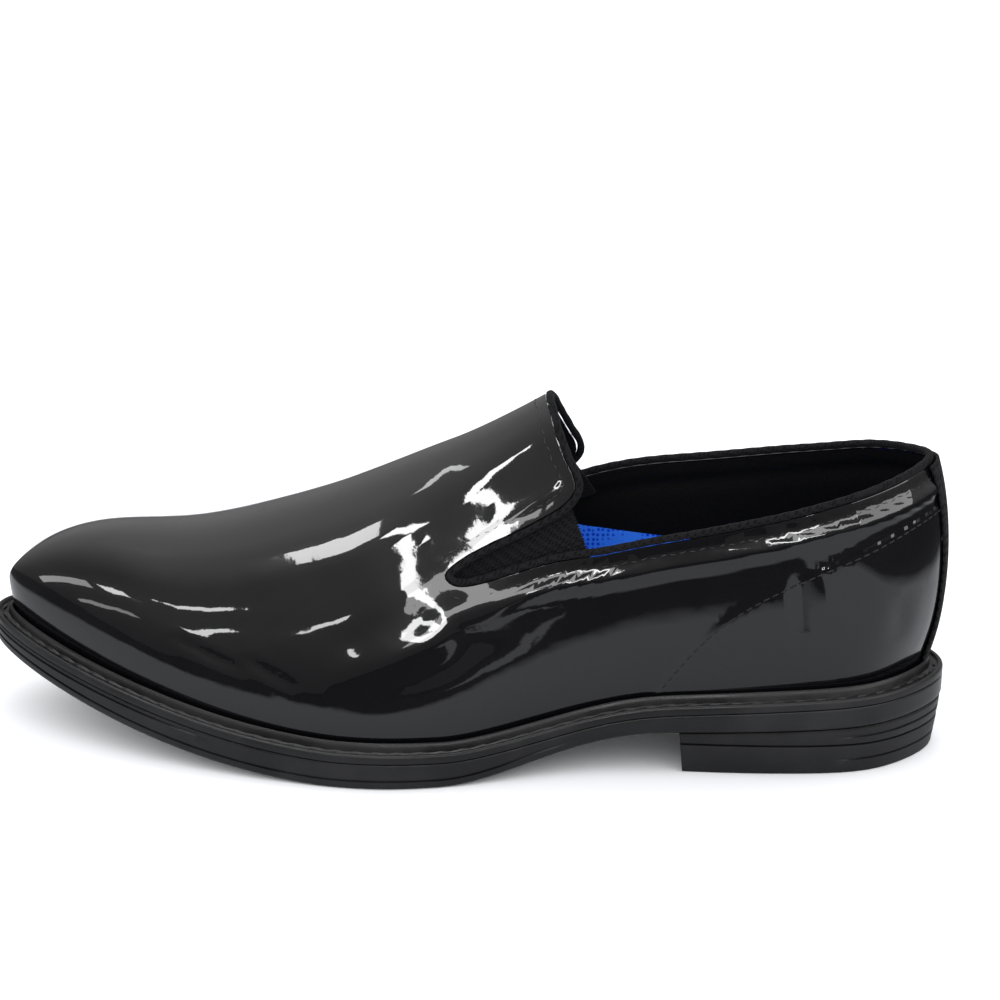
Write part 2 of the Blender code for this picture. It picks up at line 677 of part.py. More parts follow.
def upper():
    """Hollow upper: two faces over one triangulated plan, joined round the opening and the foot."""
    reach = np.array([400.0, 80.0])
    edge = opening(4.2)
    across = 46
    collar = edge[0, 1]
    seam_top = [at_heel(SEAM[0][1] * QUARTER), at_heel(SEAM[0][1] * QUARTER - SEAM_WIDTH)]
    lines = [seam_line(shift, side) for side in (1, -1) for shift in (0.0, SEAM_WIDTH)]
    foot = sorted({*np.linspace(0, 1, across + 1), *(line[-1, 0] for line in lines[:2])})
    foot = [u for u in foot if all(abs(u - line[-1, 0]) > 0.004 or u == line[-1, 0] for line in lines[:2])]
    heel_w = sorted({*np.linspace(0, collar, 12), *seam_top})
    heel_w = [w for w in heel_w if all(abs(w - s) > 0.02 or w == s for s in seam_top)]
    toe_w = list(np.linspace(0, 1, 7))
    ring = [(u, 0.0) for u in foot]
    ring += [(1.0, w) for w in toe_w[1:]]
    ring += [(1.0, 2 - w) for w in toe_w[-2::-1]]
    ring += [(u, 2.0) for u in foot[-2::-1]]
    ring += [(0.0, 2 - w) for w in heel_w[1:]]
    opening_first = len(ring) - 1
    ring += [tuple(p) for p in edge[-2::-1]]
    opening_last = len(ring) - 1
    ring += [(0.0, w) for w in heel_w[-2:0:-1]]
    ring = np.array(ring)
    inner_lines = []
    constraints = []
    for line in lines:
        start = len(ring) + len(inner_lines)
        middle = line[1:-1]
        inner_lines += [tuple(p) for p in middle]
        ends = [int(np.argmin(np.linalg.norm((ring - p) * reach, axis=1))) for p in (line[0], line[-1])]
        chain = [ends[0], *range(start, start + len(middle)), ends[1]]
        constraints += list(zip(chain[:-1], chain[1:]))
    fixed = np.concatenate([ring, np.array(inner_lines)])
    fence = np.array([*[(i, (i + 1) % len(ring)) for i in range(len(ring))], *constraints])
    grid_u, grid_w = np.meshgrid(np.linspace(0, 1, across + 1)[1:-1], np.linspace(0, 2, 25)[1:-1])
    grid = np.stack([grid_u.ravel(), grid_w.ravel()], 1)
    a = fixed[fence[:, 0]] * reach
    b = fixed[fence[:, 1]] * reach
    p = (grid * reach)[:, None]
    t = np.clip(((p - a) * (b - a)).sum(-1) / np.maximum(((b - a) ** 2).sum(-1), 1e-12), 0, 1)
    away = np.linalg.norm(p - (a + t[..., None] * (b - a)), axis=-1).min(1)
    grid = grid[away > 2.6]
    every = np.concatenate([fixed, grid]) * reach
    out = delaunay_2d_cdt(
        [tuple(q) for q in every], [tuple(int(i) for i in c) for c in constraints], [list(range(len(ring)))], 1, 1e-6
    )
    flat = np.array([(q[0], q[1]) for q in out[0]]) / reach
    triangles = [tuple(f) for f in out[2]]
    # The two sides meet along the heel's and the toe's middle lines: matching points become one
    middle_w = (np.array(heel_w), np.array([0.0, *toe_w[1:]]))
    keys = {}
    merged = []
    for i, (u, w) in enumerate(flat):
        key = ("in", i)
        for end in (0, 1):
            if abs(u - end) < 1e-6:
                key = (end, int(np.argmin(np.abs(middle_w[end] - min(w, 2 - w)))))
        merged.append(keys.setdefault(key, len(keys)))
    first = {}
    for i, m in enumerate(merged):
        first.setdefault(m, i)
    chosen = np.array([first[m] for m in range(len(keys))])
    u, w = flat[chosen, 0], flat[chosen, 1]
    base = around_point(u, w)
    normal = around_normal(u, w)
    middle = (u < 1e-6) | (u > 1 - 1e-6)
    normal[middle, 1] = 0.0
    normal /= np.linalg.norm(normal, axis=1, keepdims=True)
    outside = base + normal * counter(u, w)[:, None]
    inside = base - normal * WALL
    count = len(base)
    faces = []
    edges = {}
    for tri in triangles:
        tri = tuple(merged[i] for i in tri)
        if len(set(tri)) < 3:
            continue
        faces.append(tri)
        for i in range(3):
            pair = (tri[i], tri[(i + 1) % 3])
            edges[pair] = edges.get(pair, 0) + 1
    whole = list(faces)
    whole += [tuple(count + i for i in reversed(tri)) for tri in faces]
    for low, high in edges:
        if (high, low) not in edges:
            whole.append((high, low, count + low, count + high))
    add("upper", np.concatenate([outside, inside]), whole, (0.01, 0.01, 0.012), 0.08)


def binding():
    """Rounded band on the edge of the opening."""
    edge = opening(4.2)[:-1]
    u, w = edge[:, 0], edge[:, 1]
    base = around_point(u, w)
    normal = around_normal(u, w)
    normal[0, 1] = 0.0
    normal /= np.linalg.norm(normal, axis=1, keepdims=True)
    along = np.roll(base, -1, 0) - np.roll(base, 1, 0)
    along /= np.linalg.norm(along, axis=1, keepdims=True)
    out = np.cross(along, normal)
    out /= np.linalg.norm(out, axis=1, keepdims=True)
    if out[0, 2] < 0:
        out = -out
    sides = 8
    grow = 1 / math.cos(math.pi / sides)
    centre = base - normal * WALL / 2 + out * (GAP + grow * BINDING_HEIGHT / 2)
    rings = []
    for k in range(sides):
        angle = 2 * math.pi * (k + 0.5) / sides
        up = out * math.sin(angle) * BINDING_HEIGHT / 2 * grow
        thick = normal * math.cos(angle) * BINDING_WIDTH / 2 * grow
        rings.append(centre + up + thick)
    size = len(base)
    faces = []
    for k in range(sides):
        faces += wall_faces(k * size, ((k + 1) % sides) * size, size)
    add("topline_binding", np.concatenate(rings), faces, (0.015, 0.015, 0.015), 0.8)


def sheet(name, u, w, low, high, colour, roughness):
    """Closed plate over a grid of (u, w), between two distances from the upper's outer face."""
    base = around_point(u, w)
    normal = around_normal(u, w)
    rows, columns = u.shape
    count = rows * columns
    points = np.concatenate([(base + normal * low[..., None]).reshape(-1, 3), (base + normal * high[..., None]).reshape(-1, 3)])
    faces = []
    for i in range(rows - 1):
        for j in range(columns - 1):
            a, b, c, d = i * columns + j, i * columns + j + 1, (i + 1) * columns + j + 1, (i + 1) * columns + j
            faces += [(a, b, c, d), (count + d, count + c, count + b, count + a)]
    ring = [j for j in range(columns)]
    ring += [i * columns + columns - 1 for i in range(1, rows)]
    ring += [(rows - 1) * columns + j for j in range(columns - 2, -1, -1)]
    ring += [i * columns for i in range(rows - 2, 0, -1)]
    for k, a in enumerate(ring):
        b = ring[(k + 1) % len(ring)]
        faces.append((b, a, count + a, count + b))
    add(name, points, faces, colour, roughness)


def backstay():
    """Strip up the heel's back, from the welt's bead to the binding on the collar."""
    half = BACKSTAY_WIDTH / 2
    low = at_heel(WELT_THICK + BEAD_RISE + 2 * GAP)
    edge = opening(2.0)
    rises = {}
    for side, points in ((1, edge[:20]), (-1, edge[::-1][:20])):
        v = np.minimum(points[:, 1], 2 - points[:, 1])
        rises[side] = (points[:, 0], v / v[0])
    high = at_heel(COLLAR_BACK + GAP)
    stops = np.linspace(low, high, 15)
    offsets = np.linspace(-1, 1, 7)
    u = np.zeros((len(stops), len(offsets)))
    w = np.zeros_like(u)
    for i, v in enumerate(stops):
        tries = np.linspace(0, 0.3, 400)
        for j, share in enumerate(offsets):
            side = 1 if share >= 0 else -1
            reach = np.abs(upper_point(tries, v, side)[:, 1])
            u[i, j] = np.interp(abs(share) * half, reach, tries)
            drop = 1 + (np.interp(u[i, j], *rises[side]) - 1) * (v - low) / (high - low)
            w[i, j] = v * drop if side > 0 else 2 - v * drop
    hollow = 1 - eased((stops - low) / (0.3 * (high - low)))
    start = COUNTER_STEP + GAP * (1 + 1.3 * hollow[:, None]) + 0 * u
    sheet("backstay", u, w, start, start + BACKSTAY_THICK, (0.015, 0.015, 0.015), 0.85)


def gore(name, side):
    """Elastic behind the notch of one side, clear of the binding."""
    which = GORE_COLUMNS.index("outer" if side > 0 else "inner")
    found = {}
    for key, row in GORE.items():
        u, v = place(np.array([row[0] * SOLE_LENGTH]), np.array([row[which] * QUARTER]), side)
        found[key] = np.array([u[0], v[0]])
    s = np.linspace(0, 1, 9)[:, None, None]
    q = np.linspace(0, 1, 6)[None, :, None]
    front = found["tip_low"] * (1 - q) + found["tip_high"] * q
    rear = found["rear_low"] * (1 - q) + found["rear_high"] * q
    grid = front * (1 - s) + rear * s
    u, v = grid[..., 0], grid[..., 1]
    top = -(WALL / 2 + BINDING_WIDTH / 2 + GAP)
    flat = np.zeros_like(u)
    sheet(name, u, v if side > 0 else 2 - v, flat + top - GORE_THICK, flat + top, (0.012, 0.012, 0.012), 0.9)


def insole():
    """Footbed inside the upper, slightly cupped."""
    us = loop_stations(30, ())

    def inset(u):
        return feather_inset(u) + WALL + 2 * GAP

    low = loop_points(us, lambda u: inset(u), lambda x: platform(x) + GAP)
    high = loop_points(us, lambda u: inset(u), lambda x: platform(x) + GAP + INSOLE_THICK + INSOLE_CUP)
    count = len(us) - 1
    total = 2 * count
    columns = (-0.7, -0.35, 0.0, 0.35, 0.7)
    points = [*low, *high]
    rows = []
    for k in range(1, count):
        outer = high[k]
        inner = high[total - k]
        row = [total + k]
        for q in columns[::-1]:
            middle = (outer + inner) / 2 + (outer - inner) / 2 * q
            middle[2] = float(platform(middle[0])) + GAP + INSOLE_THICK + INSOLE_CUP * q * q
            row.append(len(points))
            points.append(middle)
        row.append(total + total - k)
        rows.append(row)
    faces = strip_faces(0, count, True) + wall_faces(0, total, total)
    for a, b in zip(rows[:-1], rows[1:]):
        for j in range(len(a) - 1):
            faces.append((a[j], b[j], b[j + 1], a[j + 1]))
    for j in range(len(rows[0]) - 1):
        faces.append((total, rows[0][j], rows[0][j + 1]))
        faces.append((total + count, rows[-1][j + 1], rows[-1][j]))
    add("insole", np.array(points), faces, (0.02, 0.08, 0.45), 0.8)


ORIGIN_X = (HEEL_LENGTH - GAP - 1.4 + float(heel_inset(0.0)) + 0.5) / 2


def main():
    for item in list(bpy.data.objects):
        bpy.data.objects.remove(item)
    outsole()
    welt()
    heel()
    upper()
    binding()
    backstay()
    gore("gore_outer", 1)
    gore("gore_inner", -1)
    insole()


main()
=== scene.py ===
"""Looks of the left slip-on dress shoe: glossy patent upper, satin rubber sole and heel, matt trim.

The pieces stand in the frame of the CAD model, +X to the toe, +Y to the outer side and +Z up. Sizes are in
millimetres until a mesh is made. "Station" is a share of the sole's length from the heel's back to the toe,
and "around" runs over the upper from 0 at its outer foot over the crown at 1 to 2 at its inner foot.
"""

import logging
import math
from collections.abc import Callable, Sequence
from dataclasses import dataclass
from enum import Enum

import bpy
import numpy as np
from mathutils import Matrix, Vector
from mathutils.geometry import delaunay_2d_cdt


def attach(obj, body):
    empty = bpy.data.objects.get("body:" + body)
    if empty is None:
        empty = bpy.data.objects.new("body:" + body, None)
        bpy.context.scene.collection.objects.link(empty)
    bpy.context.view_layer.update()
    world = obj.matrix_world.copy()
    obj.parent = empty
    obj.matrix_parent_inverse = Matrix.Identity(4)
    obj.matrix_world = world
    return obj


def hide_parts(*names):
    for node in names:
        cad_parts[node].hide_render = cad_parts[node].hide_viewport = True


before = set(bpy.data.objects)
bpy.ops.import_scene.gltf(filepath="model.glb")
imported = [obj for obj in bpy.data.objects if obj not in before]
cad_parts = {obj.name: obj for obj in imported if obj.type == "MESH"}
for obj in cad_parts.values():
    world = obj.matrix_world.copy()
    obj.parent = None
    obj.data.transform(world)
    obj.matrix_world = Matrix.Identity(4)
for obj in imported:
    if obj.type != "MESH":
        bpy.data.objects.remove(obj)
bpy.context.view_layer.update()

MM = 0.001
# Blender's wave texture at a scale of 1 has its crests this many units apart
WAVE_CRESTS = 0.314
LOG = logging.getLogger("shoe")
Array = np.ndarray
Curve = Callable[[Array], Array]
Faces = list[tuple[int, ...]]
Socket = bpy.types.NodeSocket


class Side(Enum):
    """Side of the shoe, as the sign of Y."""

    OUTER = 1
    INNER = -1


class Slot(Enum):
    """Material slots of the record."""

    OUTSOLE = "outsole_rubber"
    WELT = "welt_rubber"
    HEEL = "heel_rubber"
    PATENT = "patent_leather"
    BINDING = "binding_cloth"
    BACKSTAY = "backstay_leather"
    ELASTIC = "elastic"
    INSOLE = "insole_mesh"


def linear(colour: str) -> tuple[float, float, float, float]:
    """Linear RGBA of an sRGB hex colour."""
    parts = [int(colour[i : i + 2], 16) / 255 for i in (1, 3, 5)]
    red, green, blue = (c / 12.92 if c <= 0.04045 else ((c + 0.055) / 1.055) ** 2.4 for c in parts)
    return red, green, blue, 1.0


def smooth(xs: Sequence[float], ys: Sequence[float]) -> Curve:
    """Natural cubic spline through (xs, ys).

    Args:
        xs: rising places.
        ys: value at each place.

    Returns:
        The spline as a function of an array of places.
    """
    xs, ys = np.asarray(xs, float), np.asarray(ys, float)
    count, step = len(xs), np.diff(xs)
    left, right = np.eye(count), np.zeros(count)
    for i in range(1, count - 1):
        left[i, i - 1 : i + 2] = step[i - 1], 2 * (step[i - 1] + step[i]), step[i]
        right[i] = 6 * ((ys[i + 1] - ys[i]) / step[i] - (ys[i] - ys[i - 1]) / step[i - 1])
    bend = np.linalg.solve(left, right)

    def value(x: Array) -> Array:
        """Height of the spline at x."""
        x = np.asarray(x, float)
        i = np.clip(np.searchsorted(xs, x) - 1, 0, count - 2)
        a, b = (xs[i + 1] - x) / step[i], (x - xs[i]) / step[i]
        curve = ((a**3 - a) * bend[i] + (b**3 - b) * bend[i + 1]) * step[i] ** 2 / 6
        return a * ys[i] + b * ys[i + 1] + curve

    return value


def per_metre(size: float) -> float:
    """Repeats in a metre of a pattern of a size in mm."""
    return 1 / (size * MM)


def bell(distance: Array, width: float) -> Array:
    """Soft hump, 1 high, that falls away over a width."""
    return np.exp(-((distance / width) ** 2))


def walked(line: Array) -> Array:
    """Length walked along a line of points, at each of them."""
    return np.concatenate([[0], np.cumsum(np.linalg.norm(np.diff(line, axis=0), axis=1))])


def along_line(at: Array, run: Array, line: Array) -> Array:
    """Points of a line at given lengths walked."""
    return np.stack([np.interp(at, run, line[:, i]) for i in range(3)], 1)


def eased(t: Array) -> Array:
    """Soft step from 0 to 1."""
    t = np.clip(t, 0.0, 1.0)
    return t * t * (3 - 2 * t)


def turn(station: Array) -> Array:
    """Turn round the plan, 0 to 1, of a station."""
    return np.arccos(np.clip(1 - 2 * np.asarray(station, float), -1, 1)) / math.pi


def station_of(u: Array) -> Array:
    """Station of a turn round the plan."""
    return (1 - np.cos(math.pi * np.asarray(u, float))) / 2


def unit(vectors: Array) -> Array:
    """Vectors scaled to length one."""
    return vectors / np.maximum(np.linalg.norm(vectors, axis=-1, keepdims=True), 1e-12)


def nearest(points: Array, line: Array) -> tuple[Array, Array]:
    """Distance of points from a line of straight pieces.

    Args:
        points: points in space.
        line: corners of the line, in order.

    Returns:
        The distance of each point, and how far along the line its nearest place is.
    """
    pieces = line[1:] - line[:-1]
    lengths = np.linalg.norm(pieces, axis=1)
    run = np.concatenate([[0.0], np.cumsum(lengths)])
    squares = (line**2).sum(1)
    close = np.concatenate([(squares - 2 * part @ line.T).argmin(1) for part in np.array_split(points, 12)])
    distance, along = np.full(len(points), np.inf), np.zeros(len(points))
    for shift in (-1, 0):
        i = np.clip(close + shift, 0, len(pieces) - 1)
        share = np.clip(((points - line[i]) * pieces[i]).sum(1) / np.maximum(lengths[i] ** 2, 1e-12), 0, 1)
        away = np.linalg.norm(points - line[i] - share[:, None] * pieces[i], axis=1)
        better = away < distance
        distance = np.where(better, away, distance)
        along = np.where(better, run[i] + share * lengths[i], along)
    return distance, along


@dataclass(frozen=True)
class Last:
    """True shape of the shoe: the sole's outline and side, and the upper's sections. Lengths in mm."""

    length: float = 305.0
    ball_width: float = 104.0
    toe_shift: float = 6.0
    heel_length: float = 84.0
    heel_height: float = 13.5
    heel_wedge: float = 3.3
    heel_taper: float = 1.8
    tread_start: float = 0.515
    tread_end: float = 0.615
    toe_spring: float = 25.0
    welt_thick: float = 3.0
    feather_margin: float = 1.6
    collar_back: float = 69.8
    quarter: float = 52.0
    heel_bulge: float = 4.9
    side_bulge: float = 3.3
    gap: float = 0.3
    wall: float = 2.0
    origin_x: float = 42.5
    # Rough size in mm of one unit of u and of w, to judge distances in the plan
    plan_scale: tuple[float, float] = (400.0, 80.0)
    # Station, and reach to the outer and the inner side in mm
    outline: tuple[tuple[float, float, float], ...] = (
        (0.03, 18.904, 19.460), (0.08, 30.580, 30.372), (0.14, 34.959, 34.194), (0.24, 36.363, 32.982),
        (0.38, 38.985, 30.705), (0.50, 50.752, 35.880), (0.58, 54.704, 43.680), (0.66, 51.792, 50.128),
        (0.74, 45.760, 51.688), (0.84, 34.112, 48.048), (0.93, 18.720, 36.608), (0.98, 6.240, 23.400),
    )
    # Station, and height of the sole's side
    side: tuple[tuple[float, float], ...] = (
        (0.00, 9.804), (0.14, 9.804), (0.27, 8.944), (0.40, 8.772), (0.47, 10.488), (0.56, 11.172),
        (0.70, 11.514), (0.85, 11.400), (1.00, 9.400),
    )
    # Station, and width of the welt
    welt: tuple[tuple[float, float], ...] = (
        (0.00, 5.800), (0.10, 5.626), (0.25, 5.320), (0.50, 5.208), (0.70, 5.600), (1.00, 5.768),
    )
    # Station, height of the crown in mm, and shares: aside, ahead, side full, top full
    crown: tuple[tuple[float, ...], ...] = (
        (0.00, 96.320, 0.000, 0.000, 0.55, 0.95), (0.10, 110.880, 0.000, 0.004, 0.55, 0.88),
        (0.22, 113.680, 0.000, 0.006, 0.55, 0.76), (0.34, 106.960, -0.010, 0.002, 0.50, 0.70),
        (0.42, 97.582, -0.029, 0.000, 0.44, 0.64), (0.50, 87.882, -0.048, 0.000, 0.42, 0.60),
        (0.60, 74.884, -0.058, 0.000, 0.42, 0.60), (0.70, 62.371, -0.063, 0.000, 0.44, 0.64),
        (0.80, 49.950, -0.066, 0.000, 0.50, 0.70), (0.90, 40.996, -0.062, 0.001, 0.55, 0.82),
        (0.96, 30.414, -0.058, 0.005, 0.58, 1.00), (0.99, 20.350, -0.058, 0.008, 0.60, 1.20),
        (1.00, 13.320, -0.058, 0.009, 0.62, 1.30),
    )
    # Station, share of the side's bulge, share of the heel's bulge
    bulge: tuple[tuple[float, float, float], ...] = (
        (0.00, 0.00, 1.00), (0.03, 0.55, 0.80), (0.10, 1.00, 0.52), (0.20, 0.80, 0.28), (0.32, 0.45, 0.06),
        (0.45, 0.40, 0.00), (0.60, 0.90, 0.00), (0.75, 1.10, 0.00), (0.90, 1.05, 0.00), (1.00, 0.80, 0.00),
    )
    # Profile of the heel's back: share of the collar's height, share of the bulge
    back: tuple[tuple[float, float], ...] = (
        (0.00, 0.00), (0.07, 0.10), (0.14, 0.35), (0.24, 0.69), (0.36, 0.92), (0.51, 1.00), (0.67, 0.89),
        (0.79, 0.68), (0.91, 0.34), (1.00, -0.02), (1.45, -2.40),
    )
    # Edge of the opening from the collar to the flap's corner: station, outer and inner height in mm
    edge: tuple[tuple[float, float, float], ...] = (
        (0.045, 67.985, 69.102), (0.080, 65.821, 67.846), (0.125, 62.660, 65.832), (0.175, 59.176, 64.896),
        (0.225, 56.368, 64.376), (0.280, 53.612, 64.272), (0.330, 51.896, 64.480), (0.365, 51.740, 64.272),
        (0.405, 52.572, 62.816), (0.450, 51.636, 59.280), (0.492, 50.440, 55.640), (0.508, 51.480, 56.160),
        (0.514, 54.080, 58.240), (0.503, 57.616, 61.100), (0.476, 61.464, 64.376), (0.445, 64.272, 66.872),
        (0.413, 67.444, 69.576), (0.397, 69.680, 71.240), (0.389, 72.280, 73.424), (0.388, 75.140, 76.024),
    )
    # Front of the throat: around, station
    throat: tuple[tuple[float, float], ...] = (
        (0.62, 0.391), (0.67, 0.397), (0.75, 0.405), (0.86, 0.412), (1.00, 0.417),
    )
    # Seam of the counter: station, height in mm
    seam: tuple[tuple[float, float], ...] = (
        (0.000, 58.240), (0.050, 55.016), (0.100, 49.504), (0.150, 43.576), (0.200, 36.400), (0.250, 25.220),
        (0.298, 7.540), (0.316, 0.000),
    )

    def __post_init__(self) -> None:
        """Makes the splines once."""
        stations = turn([0.0, *(row[0] for row in self.outline), 1.0])
        outer = [0.0, *(row[1] for row in self.outline), -self.toe_shift]
        inner = [0.0, *(-row[2] for row in self.outline), -self.toe_shift]
        crown = np.array(self.crown)
        bulge = np.array(self.bulge)
        curves = {
            "outer": smooth(stations, outer),
            "inner": smooth(stations, inner),
            "side": smooth(*np.array(self.side).T),
            "welt": smooth(*np.array(self.welt).T),
            "back": smooth(*np.array(self.back).T),
            "seam": smooth(*np.array(self.seam).T),
            "bulge": smooth(turn(bulge[:, 0]), bulge[:, 1]),
            "back_share": smooth(turn(bulge[:, 0]), bulge[:, 2]),
        }
        for name, place in (("height", 1), ("aside", 2), ("ahead", 3), ("side_full", 4), ("top_full", 5)):
            curves[name] = smooth(turn(crown[:, 0]), crown[:, place])
        object.__setattr__(self, "curves", curves)

    def underside(self, x: Array) -> Array:
        """Height of the sole's underside.

        Args:
            x: distance from the heel's back in mm.

        Returns:
            The height over the floor in mm.
        """
        x = np.asarray(x, float)
        start, end = self.tread_start * self.length, self.tread_end * self.length
        slope = -self.heel_wedge / self.heel_length
        over_heel = self.heel_height + slope * (x - self.heel_length)
        t = np.clip((x - self.heel_length) / (start - self.heel_length), 0, 1)
        waist = self.heel_height * (1 - eased(t**1.2)) + slope * (start - self.heel_length) * t * (1 - t) ** 2
        toe = self.toe_spring * np.clip((x - end) / (self.length - end), 0, None) ** 1.75
        return np.where(x < self.heel_length, over_heel, waist) + toe

    def platform(self, x: Array) -> Array:
        """Height of the face on which the welt and the upper stand."""
        share = np.clip(np.asarray(x, float) / self.length, 0, 1)
        return self.underside(x) + self.curves["side"](share) - self.welt_thick

    def rim(self, u: Array, side: Side, inset: Array) -> tuple[Array, Array, Array, Array]:
        """Point of the outline in plan, moved in, and its normal.

        Args:
            u: turns round the plan.
            side: side of the shoe.
            inset: how far in from the sole's side.

        Returns:
            x, y and the two parts of the outward normal.
        """
        u = np.asarray(u, float)
        edge = self.curves["outer" if side is Side.OUTER else "inner"]
        low, high = np.clip(u - 1e-4, 0, 1), np.clip(u + 1e-4, 0, 1)
        along = self.length * (station_of(high) - station_of(low))
        across = edge(high) - edge(low)
        size = np.hypot(along, across)
        nx = np.where(u <= 0, -1.0, np.where(u >= 1, 1.0, -side.value * across / size))
        ny = np.where((u <= 0) | (u >= 1), 0.0, side.value * along / size)
        return self.length * station_of(u) - nx * inset, edge(u) - ny * inset, nx, ny

    def welt_width(self, u: Array) -> Array:
        """Width of the welt."""
        return self.curves["welt"](station_of(u))

    def feather(self, u: Array) -> Array:
        """Distance from the sole's side to the upper's foot."""
        return self.welt_width(u) + self.feather_margin

    def half_point(self, u: Array, v: Array, side: Side) -> Array:
        """Outer face of the upper on one side: v runs from the foot to the crown.

        Args:
            u: turns round the plan.
            v: share of the way from the foot to the crown.
            side: side of the shoe.

        Returns:
            The points in mm.
        """
        curves = self.curves
        station = station_of(u)
        fx, fy, nx, ny = self.rim(u, side, self.feather(u))
        foot = self.platform(fx) + self.gap
        back, front = float(self.feather(0.0)), self.length - float(self.feather(1.0))
        cx = back + (front - back) * station + curves["ahead"](u) * self.length
        cy = curves["aside"](u) * self.ball_width
        top = self.platform(cx) + curves["height"](u)
        flare = self.side_bulge * curves["bulge"](u)
        a, b, c, d = (1 - v) ** 3, 3 * (1 - v) ** 2 * v, 3 * (1 - v) * v**2, v**3
        x = a * fx + b * (fx + nx * flare) + (c + d) * cx
        y = a * fy + b * (fy + ny * flare) + c * (cy + (fy - cy) * curves["top_full"](u)) + d * cy
        z = a * foot + b * (foot + (top - foot) * curves["side_full"](u)) + (c + d) * top
        share = np.clip((z - foot) / self.collar_back, 0, 1.45)
        reach = self.heel_bulge * curves["back_share"](u) * curves["back"](share)
        return np.stack([x + nx * reach, y + ny * reach, z], -1)

    def point(self, u: Array, w: Array) -> Array:
        """Outer face of the upper over both sides.

        Args:
            u: turns round the plan.
            w: around of the points.

        Returns:
            The points in mm.
        """
        u, w = np.broadcast_arrays(np.asarray(u, float), np.asarray(w, float))
        outer = self.half_point(u, np.clip(w, 0, 1), Side.OUTER)
        inner = self.half_point(u, np.clip(2 - w, 0, 1), Side.INNER)
        return np.where((w <= 1)[..., None], outer, inner)

    def steps(self, u: Array, w: Array, step: float = 6e-4) -> tuple[Array, ...]:
        """The four neighbours (u, w) that a normal is taken from.

        Args:
            u: turns round the plan.
            w: around of the points.
            step: how far the neighbours are away.

        Returns:
            u ahead, u behind, u here, w here, w up and w down.
        """
        u, w = np.broadcast_arrays(np.asarray(u, float), np.asarray(w, float))
        v = np.clip(np.where(w <= 1, w, 2 - w), 2 * step, 1 - 2 * step)
        w = np.where(w <= 1, v, 2 - v)
        u = np.clip(u, 2 * step, 1 - 2 * step)
        return u + step, u - step, u, w, w + step, w - step

    def normal(self, u: Array, w: Array) -> Array:
        """Unit normal of the outer face."""
        ahead, behind, u0, w0, up, down = self.steps(u, w)
        across = self.point(u0, up) - self.point(u0, down)
        return unit(np.cross(across, self.point(ahead, w0) - self.point(behind, w0)))

    def place(self, x: Array, height: Array, side: Side) -> tuple[Array, Array]:
        """(u, v) of the point of the upper at x and that height over the platform.

        Args:
            x: distance from the heel's back in mm.
            height: height over the platform in mm.
            side: side of the shoe.

        Returns:
            u and v of the points, found by Newton's method.
        """
        x = np.asarray(x, float)
        z = self.platform(x) + height
        u, step = turn(x / self.length), 1e-4
        v = np.full_like(u, 0.4)
        for _ in range(25):
            here = self.half_point(u, v, side)
            du = (self.half_point(u + step, v, side) - here) / step
            dv = (self.half_point(u, v + step, side) - here) / step
            ex, ez = x - here[..., 0], z - here[..., 2]
            det = du[..., 0] * dv[..., 2] - du[..., 2] * dv[..., 0]
            det = np.where(np.abs(det) < 1e-6, 1e-6, det)
            u = np.clip(u + np.clip((ex * dv[..., 2] - ez * dv[..., 0]) / det, -0.05, 0.05), 1e-4, 1 - 1e-3)
            v = np.clip(v + np.clip((ez * du[..., 0] - ex * du[..., 2]) / det, -0.1, 0.1), 0.01, 0.98)
        return u, v

    def at_heel(self, height: float) -> float:
        """Share v of a height on the middle line of the heel's back.

        Args:
            height: height over the platform in mm.

        Returns:
            The share v.
        """
        tries = np.linspace(0, 1, 801)
        foot = float(self.platform(self.feather(0.0)))
        heights = self.half_point(np.zeros(801), tries, Side.OUTER)[..., 2] - foot
        return float(np.interp(height, heights, tries))

    def opening(self, spacing: float) -> Array:
        """Edge of the collar, notches and throat.

        Args:
            spacing: distance between its points.

        Returns:
            (u, w) points from the collar's back over the outer side and back to it.
        """
        edge, throat = np.array(self.edge), np.array(self.throat)
        halves = []
        for place, side in ((1, Side.OUTER), (2, Side.INNER)):
            u, v = self.place(edge[:, 0] * self.length, edge[:, place], side)
            u = np.concatenate([[0.0], u, turn(throat[:, 1])])
            v = np.concatenate([[self.at_heel(self.collar_back)], v, throat[:, 0]])
            halves.append(np.stack([u, v if side is Side.OUTER else 2 - v], 1))
        points = np.concatenate([halves[0], halves[1][-2::-1]])
        gaps = np.linalg.norm(np.diff(points * self.plan_scale, axis=0), axis=1) ** 0.6
        length = np.concatenate([[0], np.cumsum(gaps)])
        fine = np.linspace(0, length[-1], 1500)
        dense = np.stack([smooth(length, points[:, 0])(fine), smooth(length, points[:, 1])(fine)], 1)
        solid = self.point(dense[:, 0], dense[:, 1])
        run = walked(solid)
        at = np.linspace(0, run[-1], max(4, int(round(run[-1] / spacing))) + 1)
        return np.stack([np.interp(at, run, dense[:, 0]), np.interp(at, run, dense[:, 1])], 1)

    def seam_line(self, shift: float, side: Side, count: int) -> Array:
        """(u, w) points of the counter's seam, moved down by shift.

        Args:
            shift: how far down in mm.
            side: side of the shoe.
            count: number of points before the low ones are left out.

        Returns:
            The points from the heel's back to the foot.
        """
        last = self.seam[-1][0]
        stations = np.linspace(0, last, count)[1:-1]
        heights = self.curves["seam"](stations) - shift
        keep = heights > 1.5
        u, v = self.place(stations[keep] * self.length, heights[keep], side)
        fine = np.linspace(0, last, 400)
        foot = float(np.interp(-shift, -self.curves["seam"](fine), fine))
        u = np.concatenate([[0.0], u, [float(turn(foot))]])
        v = np.concatenate([[self.at_heel(self.seam[0][1] - shift)], v, [0.0]])
        return np.stack([u, v if side is Side.OUTER else 2 - v], 1)

